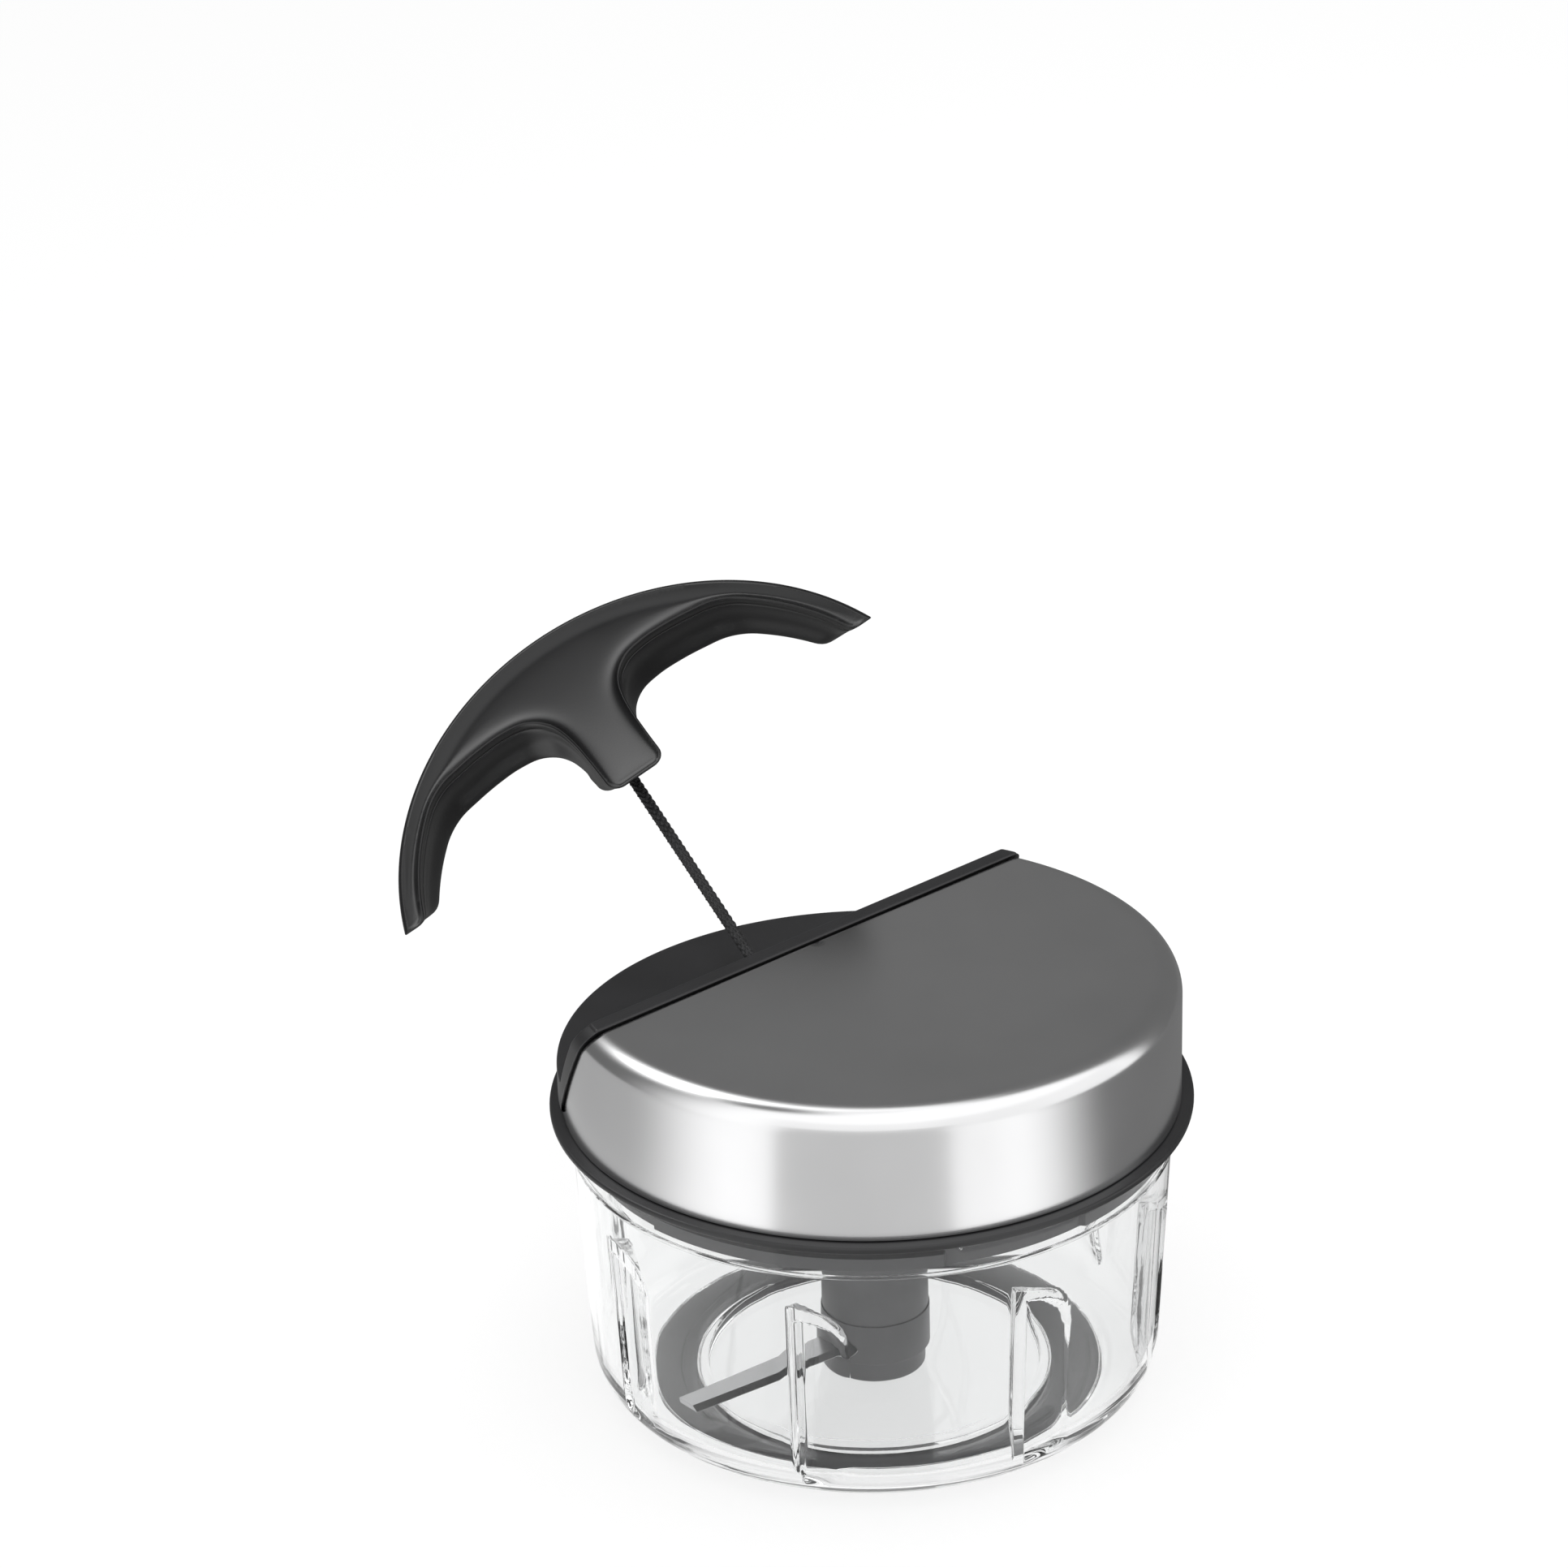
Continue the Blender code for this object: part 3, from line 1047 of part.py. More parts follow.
def main():
    drive_axis = pivot_empty("drive_axis", Matrix())
    handle_pivot = pivot_empty("handle_pivot", Matrix.Translation(HANDLE_OUT) @ TILTED)
    make_bowl()
    make_grip_ring()
    make_blade_pin()
    make_tower(drive_axis)
    make_blades(drive_axis)
    make_lid_base()
    make_seal()
    make_bush()
    make_shaft(drive_axis)
    make_dog(drive_axis)
    make_spool(drive_axis)
    make_spool_screw(drive_axis)
    make_winding(drive_axis)
    make_recoil_spring()
    make_spring_cover()
    make_guard()
    make_lid_screws()
    make_housing()
    make_eyelet()
    make_cover()
    make_handle(handle_pivot)
    make_knot(handle_pivot)
    make_cords()
    travel = HANDLE_OUT - KNOT_STOWED
    print("cord exit", [round(value, 6) for value in CORD_EXIT])
    print("cord line", [round(value, 6) for value in CORD_LINE])
    print("stow line", [round(value, 6) for value in -travel.normalized()])
    print("travel", round(travel.length, 6))
    print("handle tilt, degrees", round(degrees(HANDLE_TILT), 3))


main()
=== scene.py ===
import bmesh
import bpy
import numpy as np
from math import cos, pi, radians, sin, sqrt, tan
from mathutils import Matrix, Vector
from mathutils.geometry import delaunay_2d_cdt


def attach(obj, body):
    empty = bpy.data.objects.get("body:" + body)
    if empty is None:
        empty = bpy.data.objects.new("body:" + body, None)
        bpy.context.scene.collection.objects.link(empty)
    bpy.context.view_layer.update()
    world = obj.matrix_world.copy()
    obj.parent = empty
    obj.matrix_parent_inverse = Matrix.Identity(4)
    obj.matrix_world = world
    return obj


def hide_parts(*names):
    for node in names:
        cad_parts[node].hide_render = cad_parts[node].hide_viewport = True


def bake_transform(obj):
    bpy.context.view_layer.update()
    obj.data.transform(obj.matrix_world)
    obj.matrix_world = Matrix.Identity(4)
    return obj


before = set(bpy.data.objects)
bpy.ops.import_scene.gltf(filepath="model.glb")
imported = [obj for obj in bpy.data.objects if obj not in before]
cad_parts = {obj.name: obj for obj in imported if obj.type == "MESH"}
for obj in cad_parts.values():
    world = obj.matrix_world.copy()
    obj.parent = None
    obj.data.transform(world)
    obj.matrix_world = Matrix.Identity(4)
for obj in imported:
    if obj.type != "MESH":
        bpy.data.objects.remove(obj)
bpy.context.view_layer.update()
scene = bpy.context.scene


# Camera
# The chopper is seen from above its front left through a long lens, so that the straight wall of the lid
# climbs to the right and the drawn-out handle stands behind it.
LOOK = Vector((0.6040, 0.6791, -0.4171))
ROLL = radians(1.44)
level_right = Vector((0.7472, -0.6645, 0.0))
level_up = Vector((0.2772, 0.3117, 0.9089))
right = cos(ROLL) * level_right - sin(ROLL) * level_up
up = sin(ROLL) * level_right + cos(ROLL) * level_up
lens = bpy.data.cameras.new("camera")
lens.lens = 121.1
lens.sensor_width = 36.0
lens.clip_start = 0.02
camera = bpy.data.objects.new("camera", lens)
camera.matrix_world = (Matrix.Translation((-0.6381, -0.6933, 0.5643))
                       @ Matrix((right, up, -LOOK)).transposed().to_4x4())
scene.collection.objects.link(camera)
scene.camera = camera
scene.view_settings.view_transform = 'Standard'
scene.cycles.max_bounces = scene.cycles.transmission_bounces = 24
scene.cycles.glossy_bounces = 16


# Pulled cord
# Black polyester braid of 2.2 mm, six strands each way, drawn straight from the hole in the lid's sloped wall
# into the stem of the handle. It is one with the cord on the spool, and its end is knotted inside the stem.
CORD_DIAMETER = 0.0022
CORD_EXIT = np.array((0.0, 0.030483, 0.0765))
CORD_KNOT = np.array((0.01796, 0.094993, 0.09844))
CORD_LINE = (CORD_KNOT - CORD_EXIT) / np.linalg.norm(CORD_KNOT - CORD_EXIT)


def run_along(line):
    """How far each point of a line lies along it from the first."""
    return np.concatenate(([0], np.cumsum(np.linalg.norm(np.diff(line, axis=0), axis=1))))


def read_along(line, run, stops):
    """The places on a line of points at some stops along its run."""
    return np.stack([np.interp(stops, run, values) for values in line.T], axis=-1)


def grid_mesh(name, points, wrap_rows=False, wrap_columns=True, smooth=40):
    """A mesh over a grid of points (rows, columns, 3), where each four neighbours make a face.

    A first or last row whose points all meet is closed as one pole. The signed volume, the sum of a.(b x c) / 6
    over the triangles, tells which way the faces look, and they are turned round if it is negative."""
    rows, columns = points.shape[:2]
    number = np.arange(rows * columns).reshape(rows, columns)
    for row in (0, rows - 1):
        if not wrap_rows and np.ptp(points[row], axis=0).max() < 1e-9:
            number[row] = number[row, 0]
    below = np.roll(number, -1, axis=0) if wrap_rows else number[1:]
    above = number if wrap_rows else number[:-1]
    turn_on = (lambda grid: np.roll(grid, -1, axis=1)) if wrap_columns else (lambda grid: grid[:, 1:])
    keep = slice(None) if wrap_columns else slice(None, -1)
    quads = np.stack((above[:, keep], turn_on(above), turn_on(below), below[:, keep]), axis=-1).reshape(-1, 4)
    a, b, c, d = (points.reshape(-1, 3)[quads[:, corner]] for corner in range(4))
    volume = np.einsum("ij,ij->i", a, np.cross(b, c)).sum() + np.einsum("ij,ij->i", a, np.cross(c, d)).sum()
    if volume < 0:
        quads = quads[:, ::-1]
    top_pole, low_pole = quads[:, 0] == quads[:, 1], quads[:, 2] == quads[:, 3]
    faces = quads[~top_pole & ~low_pole].tolist() + quads[top_pole & ~low_pole][:, 1:].tolist()
    faces += quads[low_pole & ~top_pole][:, :3].tolist()
    used, places = np.unique(number, return_inverse=True)
    new_number = np.zeros(rows * columns, int)
    new_number[used] = np.arange(len(used))
    mesh = bpy.data.meshes.new(name)
    mesh.from_pydata(points.reshape(-1, 3)[used].tolist(), [],
                     [new_number[face].tolist() for face in faces])
    mesh.update()
    mesh.shade_smooth()
    mesh.set_sharp_from_angle(angle=radians(smooth))
    made = bpy.data.objects.new(name, mesh)
    scene.collection.objects.link(made)
    return made


def braided_tube(name, route, around, step, strands=6, pitch=0.0019, relief=0.00020):
    """A round braid along a route of points.

    At the angle a and the length s, strands run at u = n a / 2 pi + s / p and v = n a / 2 pi - s / p. Their
    crowns are cos^2(pi u) and cos^2(pi v), and o = cos(pi u) cos(pi v) says which of them lies on top. The
    radius is R - h + 2 h max(crown_u (3 + o) / 4, crown_v (3 - o) / 4). A route with bends is evened out over
    1.2 mm first, and the direction that a is counted from stays level."""
    route = np.asarray(route, float)
    run = run_along(route)
    s = np.linspace(0, run[-1], int(run[-1] / step) + 1)
    centre = read_along(route, run, s)
    if len(route) > 2:
        soft = max(3, int(0.0012 / step) // 2 * 2 + 1)
        padded = np.pad(centre, ((soft // 2, soft // 2), (0, 0)), mode="reflect", reflect_type="odd")
        centre = np.stack([np.convolve(values, np.ones(soft) / soft, "valid") for values in padded.T], axis=-1)
    tangent = np.gradient(centre, axis=0)
    tangent /= np.linalg.norm(tangent, axis=1, keepdims=True)
    side = np.cross(tangent, (0.0, 0.0, 1.0))
    side /= np.linalg.norm(side, axis=1, keepdims=True)
    rise = np.cross(side, tangent)
    angle = np.linspace(0, 2 * pi, around, endpoint=False)
    u = strands * angle[None, :] / (2 * pi) + s[:, None] / pitch
    v = strands * angle[None, :] / (2 * pi) - s[:, None] / pitch
    over = np.cos(pi * u) * np.cos(pi * v)
    crown = np.maximum(np.cos(pi * u) ** 2 * (3 + over), np.cos(pi * v) ** 2 * (3 - over)) / 4
    radius = CORD_DIAMETER / 2 - relief + 2 * relief * crown
    wall = centre[:, None] + radius[..., None] * (np.cos(angle)[None, :, None] * side[:, None]
                                                  + np.sin(angle)[None, :, None] * rise[:, None])
    ends = [np.repeat(centre[end][None, None], around, axis=1) for end in (0, -1)]
    return grid_mesh(name, np.concatenate((ends[0], wall, ends[1])), smooth=80)


def feed(tree, node, *numbered, **named):
    """Gives a node's sockets, by number or by name with _ for a space, values or what other nodes put out."""
    sockets = list(zip(node.inputs, numbered))
    sockets += [(node.inputs[name.replace("_", " ")], value) for name, value in named.items()]
    for socket, value in sockets:
        if isinstance(value, bpy.types.Node):
            value = value.outputs[0]
        if isinstance(value, bpy.types.NodeSocket):
            tree.links.new(value, socket)
        else:
            socket.default_value = value
    return node


def add_node(tree, kind, *numbered, operation=None, group=None, **named):
    """Adds a shader node of a kind, with its operation or its group if it has one, and feeds its sockets."""
    node = tree.nodes.new("ShaderNode" + kind)
    if operation:
        node.operation = operation
    if group:
        node.node_tree = group
    return feed(tree, node, *numbered, **named)


def tone_between(tree, value, low, dark, high, light):
    """Turns a value to a colour: dark up to the value low, light from the value high on."""
    tone = add_node(tree, "ValToRGB", value)
    for stop, position, colour in zip(tone.color_ramp.elements, (low, high), (dark, light)):
        stop.position = position
        stop.color = (*colour, 1)
    return tone


def new_material(name, colour, roughness, **sockets):
    """A Principled material. Returns it with its node tree and its shader."""
    made = bpy.data.materials.new(name)
    made.use_nodes = True
    tree = made.node_tree
    shader = feed(tree, tree.nodes["Principled BSDF"],
                  Base_Color=(*colour, 1.0), Roughness=roughness, **sockets)
    return made, tree, shader


def new_group(name, **inputs):
    """A shader node group with float inputs and their defaults. Returns it with what its inputs give."""
    group = bpy.data.node_groups.new(name, 'ShaderNodeTree')
    for socket, default in inputs.items():
        socket = socket.replace("_", " ")
        made = group.interface.new_socket(name=socket, in_out='INPUT', socket_type='NodeSocketFloat')
        made.default_value = default
    return group, group.nodes.new('NodeGroupInput').outputs


def put_out(group, **values):
    """Gives a node group a float output for each value."""
    for socket in values:
        group.interface.new_socket(name=socket, in_out='OUTPUT', socket_type='NodeSocketFloat')
    feed(group, group.nodes.new('NodeGroupOutput'), **values)


def finish_with(piece, finish):
    """Puts one material on the whole piece."""
    piece.data.materials.clear()
    piece.data.materials.append(finish)


def hand_over(piece, finish, node, body=None):
    """Finishes a piece, hides the solid that it stands for and, when a body is given, hangs it on that body."""
    finish_with(piece, finish)
    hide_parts(node)
    if body:
        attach(piece, body)


# Yarn: fine fibres as a height, and the same under a slow cloud as a mask for the colour
yarn, given = new_group("yarn", Fineness=1.0)
place = add_node(yarn, "TexCoord").outputs["Object"]
fineness = add_node(yarn, "Math", given["Fineness"], 5200.0, operation='MULTIPLY')
fibre = add_node(yarn, "TexNoise", Vector=place, Scale=fineness, Detail=3.0)
cloud = add_node(yarn, "TexNoise", Vector=place, Scale=420.0)
put_out(yarn, Mask=add_node(yarn, "Math", fibre, cloud, operation='MULTIPLY'), Height=fibre)

black_braid, tree, shader = new_material("black_braid", (0.010, 0.010, 0.011), 0.48,
                                         Sheen_Weight=0.15, Sheen_Roughness=0.4, Specular_IOR_Level=0.5)
fibres = add_node(tree, "Group", group=yarn).outputs
tone = tone_between(tree, fibres["Mask"], 0.12, (0.003, 0.003, 0.0035), 0.45, (0.024, 0.024, 0.026))
raised = add_node(tree, "Bump", Strength=0.5, Distance=0.00004, Height=fibres["Height"])
feed(tree, shader, Base_Color=tone, Normal=raised)

pulled_route = [CORD_EXIT + CORD_LINE * 0.0003, CORD_KNOT - CORD_LINE * 0.0018]
pulled_cord = braided_tube("pulled_cord", pulled_route, around=48, step=0.00012)
hand_over(pulled_cord, black_braid, "cord_stretch")
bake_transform(pulled_cord)


# Cord inside the lid
# The same braid: three turns round the spool, then straight off it, round a gentle bend and out to the wall.
# The turns go round with the spool.
WINDING_RADIUS = 0.0200
WINDING_PITCH = 0.0027
WINDING_TURNS = 3


def around_z(radius, angle, height):
    """The points (r cos a, r sin a, z), for single numbers or for grids of them."""
    return np.stack(np.broadcast_arrays(radius * np.cos(angle), radius * np.sin(angle), height), axis=-1)


def corner_curve(before, corner, after, t):
    """The curve (1 - t)^2 A + 2 t (1 - t) P + t^2 C, which rounds the corner P between A and C."""
    return (1 - t) ** 2 * before + 2 * t * (1 - t) * corner + t ** 2 * after


cord_bend = CORD_EXIT - CORD_LINE * 0.0070
leaving = np.arctan2(cord_bend[1], cord_bend[0]) + np.arccos(WINDING_RADIUS / np.hypot(*cord_bend[:2]))
leaving_point = around_z(WINDING_RADIUS, leaving, cord_bend[2])
leaving_line = (cord_bend - leaving_point) / np.linalg.norm(cord_bend - leaving_point)

turns = np.linspace(0, WINDING_TURNS, 24 * WINDING_TURNS + 1)
wound_route = around_z(WINDING_RADIUS, leaving + 2 * pi * turns, cord_bend[2] - WINDING_PITCH * turns)
wound_route[0] = leaving_point - leaving_line * 0.0003
wound_cord = braided_tube("wound_cord", wound_route, around=24, step=0.00034)
hand_over(wound_cord, black_braid, "cord_winding", "spool")

before, after = cord_bend - leaving_line * 0.0030, cord_bend + CORD_LINE * 0.0030
lid_route = np.concatenate((np.linspace(leaving_point, before, 5)[:-1],
                            corner_curve(before, cord_bend, after, np.linspace(0, 1, 9)[:, None]),
                            np.linspace(after, CORD_EXIT + CORD_LINE * 0.0003, 4)[1:]))
lid_cord = braided_tube("lid_cord", lid_route, around=32, step=0.00006)
hand_over(lid_cord, black_braid, "inner_cord")
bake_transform(lid_cord)


# Floor and light
# A white table in a white room, with one broad soft lamp overhead and a weaker one at the right. What polished
# steel and black plastic mirror is set by a shaded canopy and by boards on the table, seen by glossy rays only.
def light_path_mask(tree):
    """One for rays from the camera, from a mirror reflection or through glass, else nought."""
    path = add_node(tree, "LightPath").outputs
    seen = add_node(tree, "Math", path["Is Camera Ray"], path["Is Glossy Ray"], operation='MAXIMUM')
    return add_node(tree, "Math", seen, path["Is Transmission Ray"], operation='MAXIMUM')


def board(name, points, radiance):
    """A flat or bent board from a grid of points with their radiances, seen by glossy rays only."""
    made = grid_mesh(name, points, wrap_columns=False)
    level = made.data.attributes.new("glow", 'FLOAT', 'POINT')
    level.data.foreach_set("value", np.broadcast_to(radiance, points.shape[:2]).astype(np.float32).ravel())
    glow = bpy.data.materials.new(name)
    glow.use_nodes = True
    tree = glow.node_tree
    tree.nodes.clear()
    strength = add_node(tree, "Attribute")
    strength.attribute_name = "glow"
    add_node(tree, "OutputMaterial", Surface=add_node(tree, "Emission", Strength=strength.outputs["Fac"]))
    finish_with(made, glow)
    made.visible_camera = made.visible_diffuse = made.visible_transmission = made.visible_shadow = False
    made.visible_volume_scatter = False


def soft_lamp(name, place, size, energy):
    """A square lamp turned towards the lid."""
    data = bpy.data.lights.new(name, 'AREA')
    data.size = size
    data.energy = energy
    lamp = bpy.data.objects.new(name, data)
    lamp.visible_glossy = False
    lamp.matrix_world = (Matrix.Translation(place)
                         @ (Vector(place) - Vector((0, 0, 0.06))).to_track_quat('Z', 'Y').to_matrix().to_4x4())
    scene.collection.objects.link(lamp)


room = bpy.data.worlds.new("white_room")
scene.world = room
room.use_nodes = True
tree = room.node_tree
level = add_node(tree, "MapRange", Value=light_path_mask(tree), To_Min=0.62, To_Max=1.0)
feed(tree, tree.nodes["Background"], Color=(1, 1, 1, 1), Strength=level)

soft_lamp("overhead_lamp", (-0.25, -0.20, 1.10), 0.9, 4.6)
soft_lamp("side_lamp", (0.75, 0.10, 0.70), 0.5, 1.2)

reach = np.linspace(0.0, 3.2, 5)[:, None]
table = grid_mesh("table", around_z(reach, np.linspace(0, 2 * pi, 64, endpoint=False), -0.00005))
if table.data.polygons[0].normal.z < 0:
    table.data.flip_normals()
white_table, tree, shader = new_material("white_table", (0.80, 0.80, 0.80), 0.9, Specular_IOR_Level=0.0)
seen = add_node(tree, "BsdfDiffuse", Color=(0.30, 0.30, 0.30, 1))
lit = add_node(tree, "AddShader", seen, add_node(tree, "Emission", Strength=0.76))
feed(tree, tree.nodes["Material Output"],
     Surface=add_node(tree, "MixShader", light_path_mask(tree), shader, lit))
finish_with(table, white_table)

VIEW_AZIMUTH = np.arctan2(LOOK.y, LOOK.x)


def ramp(low, high, value):
    """0 below low, 1 above high and a cosine's half wave between them."""
    return 0.5 - 0.5 * np.cos(pi * np.clip((value - low) / (high - low), 0, 1))


def patch(side, rise, at_side, at_rise, size, power=2):
    """A round patch of the canopy that fades as exp(-(angle from its middle / size) ^ power)."""
    sides, rises = np.radians(side), np.radians(rise)
    near = (np.sin(rises) * sin(radians(at_rise))
            + np.cos(rises) * cos(radians(at_rise)) * np.cos(sides - radians(at_side)))
    return np.exp(-(np.degrees(np.arccos(np.clip(near, -1, 1))) / size) ** power)


# The canopy: white above, dark behind and at the left, a little greyer low in front and at the right, with a
# grey strip lowest in front. The handle mirrors a bright window and a black patch beside it. Sides are angles
# from the direction of view.
CANOPY_RADIUS = 0.9
side, rise = np.meshgrid(np.linspace(-180, 180, 361), np.linspace(0, 89.9, 91))
behind = (1 - ramp(70, 80, np.abs(side))) * (1 - ramp(66, 78, rise))
at_left = ramp(40, 60, side) * (1 - ramp(82, 132, side)) * (1 - ramp(74, 84, rise))
strip = np.maximum(ramp(148.7, 149.7, side), ramp(155.4, 156.4, -side)) * (1 - ramp(12, 15, rise))
low = np.maximum(ramp(80, 90, -side), ramp(140, 150, side)) * (1 - ramp(34, 46, rise))
dimmed = (1 - 0.36 * strip) * (1 - 0.15 * low) * (1 - 0.25 * ramp(82, 89, rise))
sky = (1.2 * (1 - 0.88 * np.maximum(behind, at_left)) * dimmed + 0.02 * patch(side, rise, -3, 31, 5)
       + 4.6 * patch(side, rise, 60, 58, 13)) * (1 - 0.97 * patch(side, rise, 100, 70, 12, 4))
azimuth, rise = VIEW_AZIMUTH + np.radians(side), np.radians(rise)
board("canopy", around_z(CANOPY_RADIUS * np.cos(rise), azimuth, CANOPY_RADIUS * np.sin(rise)), sky)

# The table as polished steel mirrors it: white, with a grey panel in front, a dark one behind and a greyer left
TO_CAMERA = radians(227.4)
side, spread = np.meshgrid(np.linspace(-180, 180, 361), np.append(np.linspace(0.067, 0.50, 30), 0.90))
panel = ramp(-31.3, -30.3, side) * (1 - ramp(23.6, 24.6, side))
beyond = ramp(24, 25, side) * (1 - ramp(34, 46, side))
back = np.maximum(ramp(46, 84, side), 1 - ramp(-152, -128, side))
left = 0.74 * (1 - ramp(-88, -44, side)) * ramp(0.12, 0.16, spread)
board("table_boards", around_z(spread, TO_CAMERA + np.radians(side), 0.0005),
      1.16 - 0.56 * panel - 0.09 * beyond - np.maximum(0.99 * back, left))


# Bowl
# Clear moulded plastic with a rolled collar for the lid, and eight ribs pressed in from outside: each has a
# steep face and a ramp, and its baffle inside turns the food back to the blades. Four ledges in the collar
# hold the lid.
RIM_RADIUS = 0.0612
RIM_HEIGHT = 0.0620
COLLAR_FOOT = 0.0545
BODY_TOP_RADIUS = 0.0606
BOWL_WALL = 0.0022
RIB_DEPTH = 0.0036
RIB_WALL = 0.0019
RIB_TOP = 0.0440
RIB_ANGLES = np.radians(212.4 + 45 * np.arange(8))
LEDGE_ANGLES = np.radians(75.85 + 90 * np.arange(4))
BASE_FILLET = 0.0108
WALL_TAPER = tan(radians(3))
FOOT_RADIUS = BODY_TOP_RADIUS - (COLLAR_FOOT - BASE_FILLET) * WALL_TAPER - BASE_FILLET
RIB_RADIUS = 0.0600


def rounded(corners, closed=False, steps=4):
    """A polygon of (r, z, rounding) corners with its corners softened.

    A corner P with the points A and C a rounding's length before and after it becomes the curve
    (1 - t)^2 A + 2 t (1 - t) P + t^2 C. Every length is held to 0.48 of the shorter edge beside it."""
    corners = np.asarray(corners, float)
    place, size = corners[:, :2], corners[:, 2]
    before, after = np.roll(place, 1, axis=0) - place, np.roll(place, -1, axis=0) - place
    long_before, long_after = np.linalg.norm(before, axis=1), np.linalg.norm(after, axis=1)
    size = np.minimum(size, 0.48 * np.minimum(long_before, long_after))
    if not closed:
        size[[0, -1]] = 0
    first = place + before / long_before[:, None] * size[:, None]
    last = place + after / long_after[:, None] * size[:, None]
    t = np.linspace(0, 1, steps + 1)[None, :, None]
    soft = corner_curve(first[:, None], place[:, None], last[:, None], t).reshape(-1, 2)
    moved = np.linalg.norm(np.diff(soft, axis=0, prepend=soft[:1] + 1), axis=1) > 1e-7
    return soft[moved]


def turned_points(profile, angles):
    """A profile of points (r, z) turned about Z."""
    return around_z(profile[:, 0, None], angles, profile[:, 1, None])


def quarter(centre, radius, start, end, steps=8):
    """Points on an arc, each with no rounding of its own."""
    angle = np.radians(np.linspace(start, end, steps + 1))
    return [(centre[0] + radius * cos(a), centre[1] + radius * sin(a), 0) for a in angle]


def step_between(low, high, value):
    """0 below low, 1 above high and 3 x^2 - 2 x^3 between them."""
    x = np.clip((value - low) / (high - low), 0, 1)
    return x * x * (3 - 2 * x)


def softened(knots, levels, width, where, fineness=0.00004):
    """A line through knots and levels, averaged over a width with the weights 1 + cos."""
    table = np.arange(-0.030, 0.030, fineness)
    count = int(width / fineness) // 2 * 2 + 1
    weight = 1 + np.cos(np.linspace(-pi, pi, count))
    padded = np.pad(np.interp(table, knots, levels), count // 2, mode="edge")
    return np.interp(where, table, np.convolve(padded, weight / weight.sum(), "valid"))


def from_nearest(places, angles):
    """The signed angle of each direction from the nearest one of some places round the circle."""
    gap = np.mod(angles[:, None] - np.asarray(places)[None] + pi, 2 * pi) - pi
    return gap[np.arange(len(angles)), np.abs(gap).argmin(axis=1)]


bowl_corners = [(0, 0, 0), (0.03671, 0, 0.0003), (0.03671, 0.0016, 0.0003), (0.04651, 0.0016, 0.0003),
                (0.04651, 0, 0.0003)]
bowl_corners += quarter((FOOT_RADIUS, BASE_FILLET), BASE_FILLET, -90, 0, 14)
bowl_corners += [(BODY_TOP_RADIUS, COLLAR_FOOT, 0.0004), (RIM_RADIUS, COLLAR_FOOT, 0.0003),
                 (RIM_RADIUS, RIM_HEIGHT, 0.0006), (RIM_RADIUS - BOWL_WALL, RIM_HEIGHT, 0.0006),
                 (RIM_RADIUS - BOWL_WALL, COLLAR_FOOT, 0.0004),
                 (BODY_TOP_RADIUS - BOWL_WALL, COLLAR_FOOT, 0.0003)]
bowl_corners += quarter((0.047562, 0.0118), 0.0086, 0, -90, 12)
bowl_corners += [(0.03451, 0.0032, 0.0009), (0.03451, 0.0012, 0.0007), (0.0050, 0.0012, 0.0005),
                 (0.0050, 0.0052, 0.0005), (0.0028, 0.0052, 0.0003), (0.0028, 0.0012, 0.0003), (0, 0.0012, 0)]
profile = rounded(bowl_corners)
run = run_along(profile)
rim_stop = run[profile[:, 1].argmax()]
fine = np.arange(0, run[-1], 0.00035)
fine_r, fine_z = read_along(profile, run, fine).T
near_ribs = (fine_r > 0.050) & (fine_z > 0.0350) & (fine_z < 0.0467)
near_ledges = (fine_r > 0.0585) & (fine_r < 0.0592) & (fine_z > 0.0580) & (fine_z < 0.0608)
wall = np.arange(0, run[-1], 0.0016)
wall = wall[np.interp(wall, run, profile[:, 0]) > 0.050]
stops = np.unique(np.round(np.concatenate((run, fine[near_ribs | near_ledges], wall)), 6))
stops = stops[np.diff(stops, prepend=-1) > 0.00012]
profile = read_along(profile, run, stops)
profile[[0, -1], 0] = 0
outside = stops < rim_stop + 0.0010

along = np.concatenate((np.arange(-23.5, -2.6, 2.4), np.arange(-2.6, 0.8, 0.17), np.arange(0.8, 10.5, 0.8),
                        np.arange(10.5, 23.4, 2.6))) / 1000
columns = (RIB_ANGLES[:, None] + along / RIB_RADIUS).ravel()
edges = np.radians(np.array((-12.5, -12.15, -11.8, 11.8, 12.15, 12.5)))
columns = np.mod(np.concatenate((columns, (LEDGE_ANGLES[:, None] + edges).ravel())), 2 * pi)
columns = np.unique(np.round(columns, 6))
columns = columns[np.diff(columns, prepend=-1) > 0.0012]

radius, height = profile[:, 0, None], profile[:, 1, None]
from_rib = RIB_RADIUS * from_nearest(RIB_ANGLES, columns)[None]
wall_radius = BODY_TOP_RADIUS - (COLLAR_FOOT - height) * WALL_TAPER
fall = softened((0.0006, 0.0104), (1, 0), 0.0046, from_rib)
fall = fall * (0.10 + 0.90 * step_between(0.0010, 0.0170, height))
groove = RIB_DEPTH * fall * softened((-0.00015, 0.00015), (0, 1), 0.0014, from_rib)
drop = 0.0042 * (1 - np.sqrt(1 - np.clip((from_rib - 0.0040) / 0.0056, 0, 0.995) ** 2))
groove_top, fade = RIB_TOP - 0.22 * from_rib - drop, 0.0007 + 0.5 * drop
groove = groove * (1 - step_between(groove_top - fade, groove_top, height))
baffle = (RIB_DEPTH + RIB_WALL - BOWL_WALL) * fall
baffle = baffle * softened((-RIB_WALL - 0.00015, -RIB_WALL + 0.00015), (0, 1), 0.0014, from_rib)
